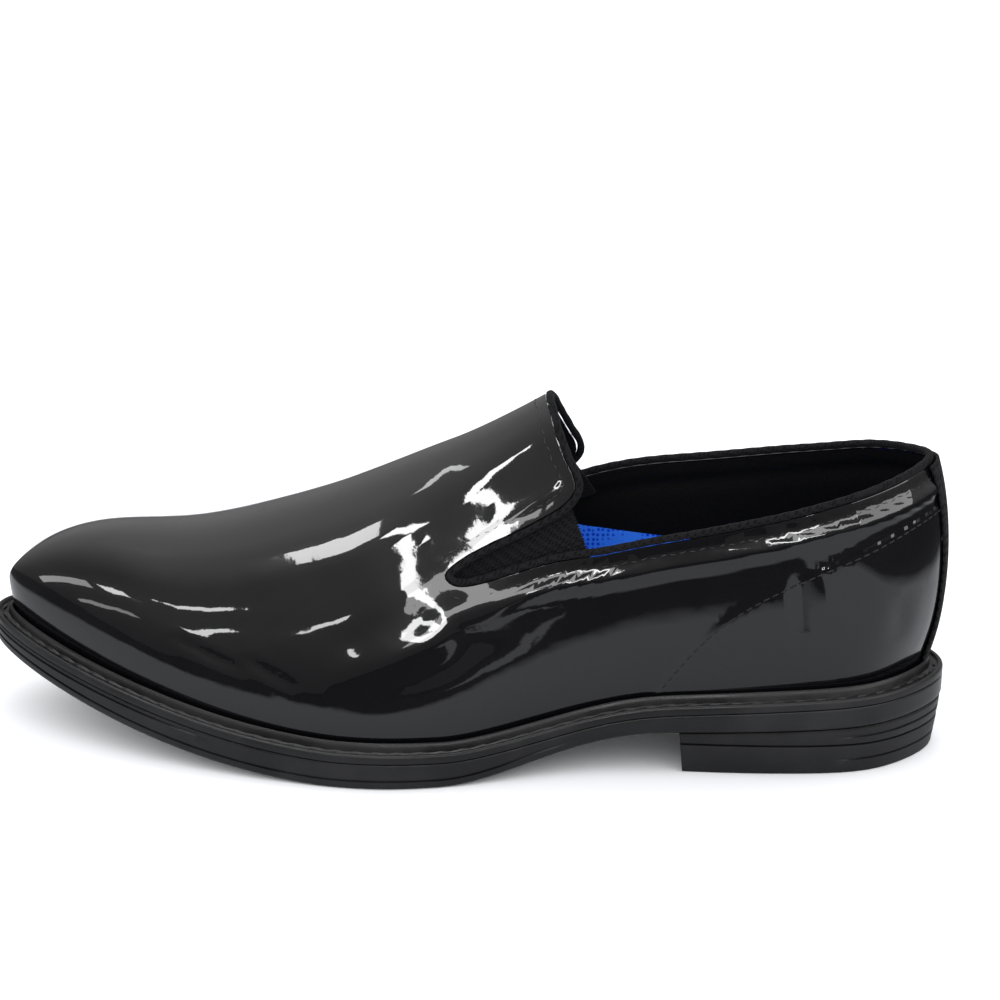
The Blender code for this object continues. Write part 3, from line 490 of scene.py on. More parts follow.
    def loop(self, us: Array, inset: Curve, height: Curve) -> Array:
        """Closed loop round the sole, from the heel over the outer side to the toe and back.

        Args:
            us: turns round the plan, rising from 0 to 1.
            inset: how far in from the sole's side, by turn.
            height: height, by distance from the heel's back.

        Returns:
            The points in mm.
        """
        rows = []
        for side, order in ((Side.OUTER, us), (Side.INNER, us[-2:0:-1])):
            x, y, _, _ = self.rim(order, side, inset(order))
            rows.append(np.stack([x, y, height(x) + 0 * x], 1))
        return np.concatenate(rows)


LAST = Last()


def add_node(
    tree: bpy.types.NodeTree, kind: str, inputs: dict | None = None, **settings: object
) -> bpy.types.Node:
    """Adds a node with its settings and links.

    Args:
        tree: node tree to add to.
        kind: Blender's name of the node type.
        inputs: socket name or number, and a value or the output that feeds it.
        settings: properties of the node.

    Returns:
        The node.
    """
    item = tree.nodes.new(kind)
    for key, value in settings.items():
        setattr(item, key, value)
    for key, value in (inputs or {}).items():
        if isinstance(value, bpy.types.NodeSocket):
            tree.links.new(value, item.inputs[key])
        else:
            item.inputs[key].default_value = value
    return item


def new_material(
    name: str, constants: dict[str, object]
) -> tuple[bpy.types.Material, bpy.types.NodeTree, bpy.types.Node, Socket]:
    """Makes a material with a Principled shader.

    Args:
        name: name of the material.
        constants: values set on the shader's own sockets.

    Returns:
        The material, its tree, the shader, and the object coordinates, in metres.
    """
    material = bpy.data.materials.new(name)
    material.use_nodes = True
    tree = material.node_tree
    shader = tree.nodes["Principled BSDF"]
    for key, value in constants.items():
        shader.inputs[key].default_value = value
    return material, tree, shader, add_node(tree, "ShaderNodeTexCoord").outputs["Object"]


def spread(source: tuple[float, float], target: tuple[float, float]) -> dict[str, float]:
    """Settings that stretch a range of values over another."""
    names = ("From Min", "From Max", "To Min", "To Max")
    return dict(zip(names, (*source, *target)))


def ramp(tree: bpy.types.NodeTree, factor: Socket, stops: Sequence[tuple[float, tuple]]) -> Socket:
    """Colour of a factor over two stops.

    Args:
        tree: node tree to add to.
        factor: output that drives the colour.
        stops: position and colour of each stop.

    Returns:
        The output with the colour.
    """
    item = add_node(tree, "ShaderNodeValToRGB", {"Fac": factor})
    for element, (position, colour) in zip(item.color_ramp.elements, stops):
        element.position, element.color = position, colour
    return item.outputs["Color"]


@dataclass(frozen=True)
class PatentLeather:
    """Black leather under a poured polyurethane film: a deep gloss with faint orange peel and scuffs."""

    base: str = "#08080a"
    roughness: tuple[float, float] = (0.22, 0.42)
    # Sizes in mm: scuffed clouds, orange peel from crest to crest, and the film's fine creases, which are
    # drawn coarser than real ones, so that they show
    cloud: float = 29.41
    peel: float = 9.091
    grain: float = 1.3158

    def material(self) -> bpy.types.Material:
        """Film gloss from the coat, softer leather below it, scuffs as rougher clouds.

        Returns:
            The material.
        """
        gloss = {
            "Base Color": linear(self.base), "IOR": 1.5, "Specular IOR Level": 0.05,
            "Coat Weight": 1.0, "Coat Roughness": 0.03, "Coat IOR": 1.5,
        }
        material, tree, shader, place = new_material("patent_leather_poured_film", gloss)
        noise = {"Vector": place, "Scale": per_metre(self.cloud), "Detail": 5.0}
        cloud = add_node(tree, "ShaderNodeTexNoise", noise)
        scuffed = spread((0.42, 0.72), self.roughness)
        rough = add_node(tree, "ShaderNodeMapRange", {"Value": cloud.outputs["Fac"], **scuffed})
        tree.links.new(rough.outputs[0], shader.inputs["Roughness"])
        noise = {"Vector": place, "Scale": per_metre(self.peel), "Detail": 1.0}
        peel = add_node(tree, "ShaderNodeTexNoise", noise)
        noise = {"Vector": place, "Scale": per_metre(self.grain), "Detail": 2.0}
        grain = add_node(tree, "ShaderNodeTexNoise", noise)
        low = {"Height": grain.outputs["Fac"], "Strength": 0.10, "Distance": 0.04 * MM}
        fine = add_node(tree, "ShaderNodeBump", low)
        high = {"Height": peel.outputs["Fac"], "Strength": 0.5, "Distance": 0.12 * MM}
        soft = add_node(tree, "ShaderNodeBump", {**high, "Normal": fine.outputs[0]})
        tree.links.new(soft.outputs[0], shader.inputs["Normal"])
        tree.links.new(soft.outputs[0], shader.inputs["Coat Normal"])
        return material


@dataclass(frozen=True)
class MouldedRubber:
    """Black moulded rubber: satin skin with fine mould grain and a dusty bloom in patches."""

    name: str = "outsole_rubber_moulded"
    base: str = "#0e0e10"
    bloom: str = "#1c1c1f"
    roughness: tuple[float, float] = (0.28, 0.44)
    # Size in mm and strength of the mould's grain, and size of the dusty clouds
    grain: float = 0.5
    grain_strength: float = 0.25
    cloud: float = 22.222

    def material(self) -> bpy.types.Material:
        """Soft grey sheen on the edges, slightly lighter dusty clouds.

        Returns:
            The material.
        """
        material, tree, shader, place = new_material(self.name, {"IOR": 1.5, "Specular IOR Level": 0.32})
        noise = {"Vector": place, "Scale": per_metre(self.cloud), "Detail": 6.0}
        cloud = add_node(tree, "ShaderNodeTexNoise", noise)
        colour = ramp(tree, cloud.outputs["Fac"], ((0.45, linear(self.base)), (0.75, linear(self.bloom))))
        tree.links.new(colour, shader.inputs["Base Color"])
        dusty = spread((0.35, 0.7), self.roughness)
        rough = add_node(tree, "ShaderNodeMapRange", {"Value": cloud.outputs["Fac"], **dusty})
        tree.links.new(rough.outputs[0], shader.inputs["Roughness"])
        noise = {"Vector": place, "Scale": per_metre(self.grain), "Detail": 3.0}
        grain = add_node(tree, "ShaderNodeTexNoise", noise)
        rise = {"Height": grain.outputs["Fac"], "Strength": self.grain_strength, "Distance": 0.1 * MM}
        bump = add_node(tree, "ShaderNodeBump", rise)
        tree.links.new(bump.outputs[0], shader.inputs["Normal"])
        return material


@dataclass(frozen=True)
class WovenCloth:
    """Matt woven cloth or elastic: crossed threads, lighter on their crests, with a faint fibre sheen."""

    name: str
    low: str
    high: str
    # Distance between threads and depth between them, in mm
    pitch: float = 0.8
    roughness: float = 0.85
    sheen: float = 0.02
    depth: float = 0.15

    def material(self) -> bpy.types.Material:
        """Thread shadows give the eye a soft, dull cloth.

        Returns:
            The material.
        """
        dull = {"Roughness": self.roughness, "Sheen Weight": self.sheen, "Specular IOR Level": 0.08}
        material, tree, shader, place = new_material(self.name, dull)
        quarter = {"Vector": place, "Axis": (0.3, 1.0, 0.2), "Angle": 1.57}
        turned = add_node(tree, "ShaderNodeVectorRotate", quarter)
        threads = []
        for vector in (place, turned.outputs[0]):
            scale = per_metre(self.pitch) * WAVE_CRESTS
            wave = {"Vector": vector, "Scale": scale, "Distortion": 1.2, "Detail": 1.0}
            thread = add_node(tree, "ShaderNodeTexWave", wave, bands_direction="DIAGONAL")
            threads.append(thread.outputs["Fac"])
        both = add_node(tree, "ShaderNodeMath", {0: threads[0], 1: threads[1]}, operation="MAXIMUM")
        colour = ramp(tree, both.outputs[0], ((0.35, linear(self.low)), (1.0, linear(self.high))))
        tree.links.new(colour, shader.inputs["Base Color"])
        rise = {"Height": both.outputs[0], "Strength": 0.8, "Distance": self.depth * MM}
        bump = add_node(tree, "ShaderNodeBump", rise)
        tree.links.new(bump.outputs[0], shader.inputs["Normal"])
        return material


@dataclass(frozen=True)
class SpacerMesh:
    """Blue knitted spacer mesh: rows of open cells with shiny blue threads between them; the cells' darker
    blue is painted shade.
    """

    thread: str = "#3c8cff"
    # Colour of the open cells: the threads' blue darkened as painted shade in their hollows
    cell_shade: str = "#0846d8"
    # Distance between cells in mm
    cell: float = 1.6129

    def netting(self, tree: bpy.types.NodeTree, place: Socket) -> tuple[Socket, Socket]:
        """Colour and height of the cells; their darker blue is painted shade where they lie low."""
        cells = {"Vector": place, "Scale": per_metre(self.cell), "Randomness": 0.25}
        height = add_node(tree, "ShaderNodeTexVoronoi", cells).outputs["Distance"]
        # Painted shade: the blue darkens towards the low middle of each cell, following the bump's height
        return ramp(tree, height, ((0.22, linear(self.cell_shade)), (0.45, linear(self.thread)))), height

    def material(self) -> bpy.types.Material:
        """Dark cells in bright blue netting: the cells' darkness is painted shade.

        Returns:
            The material.
        """
        soft = {"Roughness": 0.7, "Sheen Weight": 0.3}
        material, tree, shader, place = new_material("insole_spacer_mesh_knitted", soft)
        colour, height = self.netting(tree, place)
        tree.links.new(colour, shader.inputs["Base Color"])
        bump = add_node(tree, "ShaderNodeBump", {"Height": height, "Strength": 0.9, "Distance": 0.4 * MM})
        tree.links.new(bump.outputs[0], shader.inputs["Normal"])
        return material


@dataclass(frozen=True)
class Lining:
    """Black lining cloth, with blue spacer mesh sewn in low on the wall behind the elastic."""

    cloth: tuple[str, str] = ("#040405", "#0b0b0d")
    mesh: SpacerMesh = SpacerMesh()
    # Height of the mesh's edge at the heel's middle and at a run ahead of it, and its rear end, in metres
    edge_low: float = 0.051
    edge_high: float = 0.0656
    edge_run: float = 0.1
    rear: float = 0.018
    # Size of the cloth's weave in mm
    weave: float = 0.55556

    def material(self) -> bpy.types.Material:
        """Dull black above, bright netting below a straight seam.

        Returns:
            The material.
        """
        dull = {"Roughness": 0.9, "Specular IOR Level": 0.08}
        material, tree, shader, place = new_material("lining_cloth_and_mesh", dull)
        split = add_node(tree, "ShaderNodeSeparateXYZ", {0: place})
        ahead, high = split.outputs["X"], split.outputs["Z"]
        rise = (self.edge_high - self.edge_low) / self.edge_run
        line = {0: ahead, 1: rise, 2: self.edge_low}
        slope = add_node(tree, "ShaderNodeMath", line, operation="MULTIPLY_ADD")
        low = add_node(tree, "ShaderNodeMath", {0: high, 1: slope.outputs[0]}, operation="LESS_THAN")
        front = add_node(tree, "ShaderNodeMath", {0: ahead, 1: self.rear}, operation="GREATER_THAN")
        pair = {0: low.outputs[0], 1: front.outputs[0]}
        both = add_node(tree, "ShaderNodeMath", pair, operation="MULTIPLY")
        # Blue netting, with painted shade in its cells
        blue, _ = self.mesh.netting(tree, place)
        noise = {"Vector": place, "Scale": per_metre(self.weave), "Detail": 3.0}
        weave = add_node(tree, "ShaderNodeTexNoise", noise)
        black = ramp(tree, weave.outputs["Fac"], ((0.3, linear(self.cloth[0])), (0.7, linear(self.cloth[1]))))
        parts = {"Factor": both.outputs[0], 6: black, 7: blue}
        mix = add_node(tree, "ShaderNodeMix", parts, data_type="RGBA")
        tree.links.new(mix.outputs[2], shader.inputs["Base Color"])
        rough = {"Height": weave.outputs["Fac"], "Strength": 0.6, "Distance": 0.2 * MM}
        bump = add_node(tree, "ShaderNodeBump", rough)
        tree.links.new(bump.outputs[0], shader.inputs["Normal"])
        return material


@dataclass(frozen=True)
class Thread:
    """Twisted polyester thread, drawn tight."""

    name: str
    colour: str
    roughness: float = 0.45
    # Length of a twist in mm
    twist: float = 0.40256

    def material(self) -> bpy.types.Material:
        """A dull shine with a fine twist across each stitch.

        Returns:
            The material.
        """
        drawn = {"Base Color": linear(self.colour), "Roughness": self.roughness}
        material, tree, shader, place = new_material(self.name, drawn)
        wave = {"Vector": place, "Scale": per_metre(self.twist) * WAVE_CRESTS, "Distortion": 0.5}
        twist = add_node(tree, "ShaderNodeTexWave", wave)
        rise = {"Height": twist.outputs["Fac"], "Strength": 0.5, "Distance": 0.1 * MM}
        bump = add_node(tree, "ShaderNodeBump", rise)
        tree.links.new(bump.outputs[0], shader.inputs["Normal"])
        return material


def make_piece(
    name: str,
    points: Array,
    faces: Sequence[tuple],
    materials: Sequence[bpy.types.Material],
    replaced: Sequence[str] = (),
    kinds: Sequence[int] | None = None,
    normals: Array | None = None,
) -> bpy.types.Object:
    """Makes a piece of the visual model.

    Args:
        name: name of the piece.
        points: its points in mm, from the heel's back.
        faces: its faces.
        materials: its materials.
        replaced: CAD nodes that it stands for.
        kinds: material number of each face.
        normals: normal of each point.

    Returns:
        The object, riding on the shoe.
    """
    points = (np.asarray(points, float) - (LAST.origin_x, 0.0, 0.0)) * MM
    mesh = bpy.data.meshes.new(name)
    mesh.from_pydata(points.tolist(), [], [tuple(int(i) for i in face) for face in faces])
    mesh.update()
    for material in materials:
        mesh.materials.append(material)
    mesh.polygons.foreach_set("use_smooth", [True] * len(mesh.polygons))
    if kinds is not None:
        mesh.polygons.foreach_set("material_index", list(kinds))
    if normals is not None:
        mesh.normals_split_custom_set_from_vertices(normals.tolist())
    piece = bpy.data.objects.new(name, mesh)
    bpy.context.scene.collection.objects.link(piece)
    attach(piece, "root")
    if replaced:
        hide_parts(*replaced)
    LOG.info("%s: %d triangles", name, sum(len(face) - 2 for face in faces))
    return piece


def wall(first: int, second: int, count: int) -> Faces:
    """Faces between two closed loops of points."""
    return [(first + i, first + (i + 1) % count, second + (i + 1) % count, second + i) for i in range(count)]


def cap(first: int, half: int, total: int, flip: bool) -> Faces:
    """Strips across a loop that is the same on both sides.

    Args:
        first: number of the loop's first point.
        half: number of strips.
        total: number of points in the loop.
        flip: whether the faces are turned over.

    Returns:
        The faces.
    """
    faces = []
    for k in range(half):
        corners = (first + k, first + k + 1, first + total - k - 1, first + (total - k) % total)
        face = list(dict.fromkeys(corners))
        faces.append(tuple(reversed(face)) if flip else tuple(face))
    return faces


def stitches(centres: Array, along: Array, out: Array, length: float, thick: float) -> tuple[Array, Faces]:
    """Row of small rounded stitches.

    Args:
        centres: middle of each stitch in mm.
        along: direction of each.
        out: normal of the surface at each.
        length: length of a stitch.
        thick: thickness of the thread.

    Returns:
        Points and faces of them all.
    """
    rings, sides = ((-0.5, 0.35), (-0.3, 0.9), (0.0, 1.0), (0.3, 0.9), (0.5, 0.35)), 6
    points, faces = [], []
    side = unit(np.cross(along, out))
    for c, a, n, s in zip(centres, unit(along), unit(out), side):
        first = len(points)
        for share, size in rings:
            for k in range(sides):
                turned = 2 * math.pi * k / sides
                away = n * math.sin(turned) + s * math.cos(turned)
                points.append(c + a * length * share + away * thick / 2 * size)
        for r in range(len(rings) - 1):
            faces += [tuple(first + i for i in face) for face in wall(r * sides, (r + 1) * sides, sides)]
        last = first + (len(rings) - 1) * sides
        faces.append(tuple(first + i for i in range(sides - 1, -1, -1)))
        faces.append(tuple(last + i for i in range(sides)))
    return np.array(points), faces


@dataclass(frozen=True)
class Sole:
    """Outsole, heel base and top lift, with their grooves."""

    columns: int = 220
    tread_layer: float = 3.2
    groove_depth: float = 0.6
    groove: float = 0.7
    top_lift: float = 9.6
    edge_round: float = 0.6
    # Station where each groove starts or ends, and over how much it fades
    tread_from: tuple[float, float] = (0.36, 0.12)
    toe_from: tuple[float, float] = (0.72, 0.10)
    heel_until: tuple[float, float] = (0.13, 0.05)

    def build(self) -> None:
        """Makes the three pieces."""
        rubber = MouldedRubber().material()
        heel = MouldedRubber("heel_rubber_moulded", "#0d0d0f", "#19191c", (0.36, 0.55)).material()
        self.outsole(rubber)
        self.heel(heel)

    def outsole(self, rubber: bpy.types.Material) -> None:
        """Sole with its tread layer, the groove over it and a fine groove round the toe.

        Args:
            rubber: finish of the sole.
        """
        layer, half, r = self.tread_layer, self.groove / 2, self.edge_round
        breast = float(turn(LAST.heel_length / LAST.length))
        us = np.array(sorted({*np.linspace(0, 1, self.columns + 1), breast}))

        def over(rise: float) -> Curve:
            """Height over the underside."""
            return lambda x: LAST.underside(x) + rise

        def below(drop: float) -> Curve:
            """Height below the platform."""
            return lambda x: LAST.platform(x) - drop

        def fore(u: Array) -> Array:
            """Tread groove, from the waist forward."""
            return self.groove_depth * eased((station_of(u) - self.tread_from[0]) / self.tread_from[1])

        def toe(u: Array) -> Array:
            """Fine groove, round the toe only."""
            return self.groove_depth * eased((station_of(u) - self.toe_from[0]) / self.toe_from[1])

        def shallow(u: Array) -> Array:
            """Lips of the tread groove."""
            return 0.35 * fore(u)

        def flat(depth: float) -> Curve:
            """Same inset all round."""
            return lambda u: depth + 0 * u

        # Inset and height of each loop, from the tread's edge up to the platform's
        levels = [
            (flat(1.2), over(0.0)), (flat(0.6), over(0.2)), (flat(0.2), over(0.6)), (flat(0.0), over(1.1)),
            (flat(0.0), over(layer - 2 * half - 0.1)), (shallow, over(layer - 2 * half)),
            (fore, over(layer - 1.3 * half)), (fore, over(layer - 0.7 * half)), (shallow, over(layer)),
            (flat(0.0), over(layer + 0.1)), (flat(0.0), below(1.9)), (toe, below(1.6)), (toe, below(1.25)),
            (flat(0.0), below(0.95)), (flat(0.0), below(r)), (flat(0.3 * r), below(0.3 * r)),
            (flat(r), below(0.0)),
        ]
        loops = [LAST.loop(us, inset, height) for inset, height in levels]
        total = len(loops[0])
        faces = cap(0, len(us) - 1, total, True)
        for i in range(len(loops) - 1):
            faces += wall(i * total, (i + 1) * total, total)
        faces += cap((len(loops) - 1) * total, len(us) - 1, total, False)
        points = np.concatenate(loops)
        faces = outward(points, faces)
        sharpen(make_piece("outsole_fine", points, faces, [rubber], ["outsole"]))

    def heel(self, rubber: bpy.types.Material) -> None:
        """Heel base and top lift, leaning in to the tread, with grooves at the back.

        Args:
            rubber: finish of the heel.
        """
        us = np.linspace(0, float(turn(LAST.heel_length / LAST.length)), 70)
        lift, breast, r = self.top_lift, LAST.heel_length - LAST.gap, self.edge_round

        def lean(z: float, extra: float = 0.0, groove: float = 0.0) -> Curve:
            """Inset at a height, with a groove that fades to the front."""
            taper = 0.4 + LAST.heel_taper * (1 - min(max(z / LAST.heel_height, 0), 1)) + extra
            end, fade = self.heel_until
            return lambda u: taper + groove * eased((end - station_of(u)) / fade)

        def level(share: float, extra: float) -> Curve:
            """Height between the top lift and the sole."""
            low = lift + LAST.gap
            return lambda x: low + (LAST.underside(x) - LAST.gap - low) * share + extra

        def even(height: float) -> Curve:
            """Same height all round."""
            return lambda x: height + 0 * x

        middle, depth = lift * 0.5, self.groove_depth
        # Inset, height and how far the breast stands back, of each loop from the tread up
        low = [
            (lean(0.0, 0.6), even(0.0), 1.4),
            (lean(0.2, 0.15), even(0.2), 1.1),
            (lean(0.5), even(0.6), 0.9),
            (lean(middle - 0.5), even(middle - 0.5), 0.5),
            (lean(middle, 0.0, depth), even(middle - 0.2), 0.5),
            (lean(middle, 0.0, depth), even(middle + 0.1), 0.5),
            (lean(middle + 0.4), even(middle + 0.4), 0.5),
            (lean(lift - r), even(lift - r), 0.2),
            (lean(lift, 0.3 * r), even(lift - 0.3 * r), 0.2),
            (lean(lift, r), even(lift), 0.3),
        ]
        high = [
            (lean(lift, r), level(0.0, 0.0), 0.3),
            (lean(lift, 0.3 * r), level(0.0, 0.3 * r), 0.2),
            (lean(lift), level(0.0, r), 0.2),
            (lean(lift + 2.2), level(0.5, -0.5), 0.1),
            (lean(lift + 2.6, 0.0, depth), level(0.5, -0.15), 0.1),
            (lean(lift + 2.6, 0.0, depth), level(0.5, 0.15), 0.1),
            (lean(lift + 3.0), level(0.5, 0.5), 0.1),
            (lean(LAST.heel_height), level(1.0, -r), 0.0),
            (lean(LAST.heel_height, r), level(1.0, 0.0), 0.0),
        ]
        pieces = (("heel_lift_fine", "heel_top_lift", low), ("heel_base_fine", "heel_base", high))
        for name, node, levels in pieces:
            loops = []
            for inset, height, back in levels:
                rows, front = [], breast - back
                for side, order in ((Side.OUTER, us[::-1]), (Side.INNER, us[1:])):
                    x, y, _, _ = LAST.rim(order, side, inset(order))
                    x = np.where(order == us[-1], front, np.minimum(x, front))
                    rows.append(np.stack([x, y, height(x)], 1))
                loops.append(np.concatenate(rows))
            total = len(loops[0])
            faces = []
            for first, flip in ((0, True), ((len(loops) - 1) * total, False)):
                for k in range(len(us) - 1):
                    corners = (first + k, first + k + 1, first + total - 2 - k, first + total - 1 - k)
                    face = list(dict.fromkeys(corners))
                    faces.append(tuple(reversed(face)) if flip else tuple(face))
            for i in range(len(loops) - 1):
                faces += wall(i * total, (i + 1) * total, total)
            points = np.concatenate(loops)
            sharpen(make_piece(name, points, outward(points, faces), [rubber], [node]))


def outward(points: Array, faces: Faces) -> Faces:
    """Faces turned so that the closed mesh faces out.

    Args:
        points: points of the mesh.
        faces: faces, all turned the same way.

    Returns:
        The faces, turned over where the volume they enclose is negative.
    """
    volume = 0.0
    for face in faces:
        for i in range(1, len(face) - 1):
            volume += np.dot(points[face[0]], np.cross(points[face[i]], points[face[i + 1]]))
    return faces if volume > 0 else [tuple(reversed(face)) for face in faces]


def sharpen(piece: bpy.types.Object, angle: float = 0.6) -> None:
    """Keeps edges sharper than an angle in radians."""
    piece.data.set_sharp_from_angle(angle=angle)


@dataclass(frozen=True)
class Welt:
    """Ring round the upper's foot: side, stitched rough channel, bead, and the stitches in it."""

    columns: int = 300
    channel: float = 0.9
    bead: float = 2.2
    stitch_pitch: float = 6.5
    stitch: float = 3.2
    thread: float = 0.7
    # Loops on the channel's floor, and how far each rises and falls between the stitches
    ploughed: tuple[tuple[int, float], ...] = ((8, 0.16), (9, 0.22), (10, 0.16))

    def build(self) -> None:
        """Makes the ring and its stitches."""
        us = np.linspace(0, 1, self.columns + 1)
        top, deep, bead = LAST.welt_thick, self.channel, self.bead
        # Share of the width and height of each loop, from the side over the channel and the bead
        section = [
            (0.0, LAST.gap), (0.0, top - 1.0), (0.03, top - 0.45), (0.08, top - 0.12), (0.14, top),
            (0.22, top), (0.26, top - 0.15), (0.30, top - deep), (0.42, top - deep), (0.58, top - 0.8 * deep),
            (0.70, top - 0.4 * deep), (0.76, top + 0.35 * bead), (0.81, top + 0.78 * bead),
            (0.87, top + 0.97 * bead), (0.93, top + 0.97 * bead), (1.0, top + 0.75 * bead), (1.0, LAST.gap),
        ]
        loops = [self.ring(us, share, height) for share, height in section]
        total = len(loops[0])
        walk = walked(loops[7])
        wave = 1 + np.sin(2 * math.pi * walk / self.stitch_pitch + 0.6 * np.sin(walk * 0.9))
        for place, depth in self.ploughed:
            loops[place][:, 2] -= depth * wave
        faces = []
        for i in range(len(loops)):
            faces += wall(i * total, ((i + 1) % len(loops)) * total, total)
        points = np.concatenate(loops)
        finish = MouldedRubber("welt_rubber_ploughed", "#0b0b0c", "#1b1b1d", (0.28, 0.5), 0.66667, 0.4)
        rubber = finish.material()
        sharpen(make_piece("welt_fine", points, outward(points, faces), [rubber], ["welt"]))
        line = self.ring(us, 0.47, top - 0.62 * self.channel)
        run = walked(line)
        at = np.arange(2.0, run[-1] - 2.0, self.stitch_pitch)
        centres, ahead = along_line(at, run, line), along_line(at + 1, run, line)
        up = np.tile((0.0, 0.0, 1.0), (len(at), 1))
        points, faces = stitches(centres, ahead - centres, up, self.stitch, self.thread)
        waxed = Thread("welt_thread_waxed", "#2a2a2d", 0.5).material()
        make_piece("welt_stitches", points, faces, [waxed])

    def ring(self, us: Array, share: float, height: float) -> Array:
        """Loop at a share of the welt's width and a height over the platform."""
        return LAST.loop(us, lambda u: share * LAST.welt_width(u), lambda x: LAST.platform(x) + height)


@dataclass(frozen=True)
class Crease:
    """Soft ridge (positive rise) or trough along a line of (station, around) points."""

    line: tuple[tuple[float, float], ...]
    rise: float
    width: float
    both_sides: bool = False


@dataclass(frozen=True)
class Upper:
    """Patent upper: counter step, rolled edge, puckered stitch line and the listed creases."""

    columns: int = 230
    rows: int = 150
    edge_spacing: float = 1.5
    # Points of the grid nearer than this to a fixed one are left out, in mm
    least_gap: float = 0.75
    seam_width: float = 1.2
    counter_step: float = 0.5
    # Trough of the stitch line and the roll beside it, by distance from the opening's edge
    stitch_line: float = 3.4
    stitch_depth: float = 0.12
    stitch_width: float = 1.7
    roll_at: float = 7.2
    roll_rise: float = 1.0
    roll_width: float = 2.7
    pucker_pitch: float = 5.6
    # They fade out forward (station, range) and up the flap (around, range)
    fade_forward: tuple[float, float] = (0.40, 0.09)
    fade_up: tuple[float, float] = (0.52, 0.08)
    # Uneven pull of the leather over the last: its rise, and lengths of its waves along x, y and z
    pull: float = 0.08
    pull_waves: tuple[float, float, float, float] = (23.0, 21.0, 17.0, 19.0)
    # Length and thickness of the stitches, and the distance between those along the seam
    edge_stitch: tuple[float, float] = (1.9, 0.32)
    seam_stitch: tuple[float, float] = (2.3, 0.55)
    seam_pitch: float = 3.0
    creases: tuple[Crease, ...] = (
        Crease(
            ((0.402, 0.600), (0.438, 0.560), (0.476, 0.548), (0.499, 0.523), (0.513, 0.495)), 0.22, 5.5, True
        ),
        Crease(
            ((0.637, 0.242), (0.588, 0.279), (0.517, 0.319), (0.496, 0.357), (0.428, 0.331)), 0.8, 5.0, True
        ),
        Crease(((0.645, 0.300), (0.588, 0.345), (0.530, 0.390)), -0.2, 6.0, True),
        Crease(((0.800, 0.330), (0.756, 0.283), (0.710, 0.240)), -0.28, 1.6),
        Crease(((0.725, 0.300), (0.693, 0.253), (0.660, 0.205)), -0.32, 1.7),
        Crease(((0.156, 0.250), (0.154, 0.192), (0.152, 0.130)), -0.5, 4.0, True),
        Crease(((0.052, 0.200), (0.050, 0.152), (0.049, 0.100)), -0.4, 4.0, True),
        Crease(((0.535, 0.589), (0.500, 0.600), (0.462, 0.589)), 0.12, 5.0),
    )

    def build(self) -> None:
        """Makes the upper and the stitches of its seams."""
        patent = PatentLeather().material()
        self.shell([patent, Lining().material()])
        self.edge_stitches()
        self.seam_stitches()

    def relief(self, u: Array, w: Array, edge: Array, lines: list[tuple[Crease, Array]]) -> Array:
        """How far the leather stands out from the last's face.

        Args:
            u: turns of the points.
            w: around of the points.
            edge: points of the opening's edge.
            lines: creases and their points in space.

        Returns:
            The rise of each point in mm.
        """
        p = LAST.point(u, w)
        x, y, z = p.T
        ahead, aside, up, slow = self.pull_waves
        rise = self.pull * np.sin(x / ahead + 0.8 * np.sin(z / slow)) * np.sin(z / up + y / aside + 1.0)
        d, run = nearest(p, edge)
        stitch = 2 * math.pi * run / self.pucker_pitch + 2.6 * np.sin(run / 13)
        pucker = 1 + 0.35 * np.sin(stitch) * np.sin(run / 7.7)
        low = 1 - eased((x / LAST.length - self.fade_forward[0]) / self.fade_forward[1])
        low = low * (1 - eased((np.minimum(w, 2 - w) - self.fade_up[0]) / self.fade_up[1]))
        rise -= self.stitch_depth * low * pucker * bell(d - self.stitch_line, self.stitch_width)
        swell = 1 + 0.12 * np.sin(run / 9.0) + 0.06 * np.sin(run / 3.1)
        rise += self.roll_rise * low * swell * bell(d - self.roll_at, self.roll_width)
        for crease, line in lines:
            d, run = nearest(p, line)
            fade = np.sin(math.pi * np.clip(run / walked(line)[-1], 0, 1)) ** 0.7
            profile = bell(d, crease.width) - 0.3 * bell(d - 2 * crease.width, crease.width)
            rise += crease.rise * fade * profile
        return rise

    def crease_lines(self) -> list[tuple[Crease, Array]]:
        """Each crease as a smooth line in space, on the inner side too where it has one.

        Returns:
            Each crease with the points of its line in mm.
        """
        found = []
        for crease in self.creases:
            line = np.array(crease.line)
            t = np.arange(len(line))
            fine = np.linspace(0, len(line) - 1, 40)
            station, around = smooth(t, line[:, 0])(fine), smooth(t, line[:, 1])(fine)
            found.append((crease, LAST.point(turn(station), around)))
            if crease.both_sides:
                found.append((crease, LAST.point(turn(station), 2 - around)))
        return found

    def counter(self, u: Array, w: Array) -> Array:
        """Step of the counter behind its seam.

        Args:
            u: turns round the plan.
            w: around of the points.

        Returns:
            The rise of each point in mm.
        """
        p = LAST.point(u, w)
        x, last = p[..., 0], LAST.seam[-1][0]
        over = LAST.curves["seam"](np.clip(x / LAST.length, 0, last)) - (p[..., 2] - LAST.platform(x))
        return np.where(x < last * LAST.length, self.counter_step * eased(over / self.seam_width), 0.0)

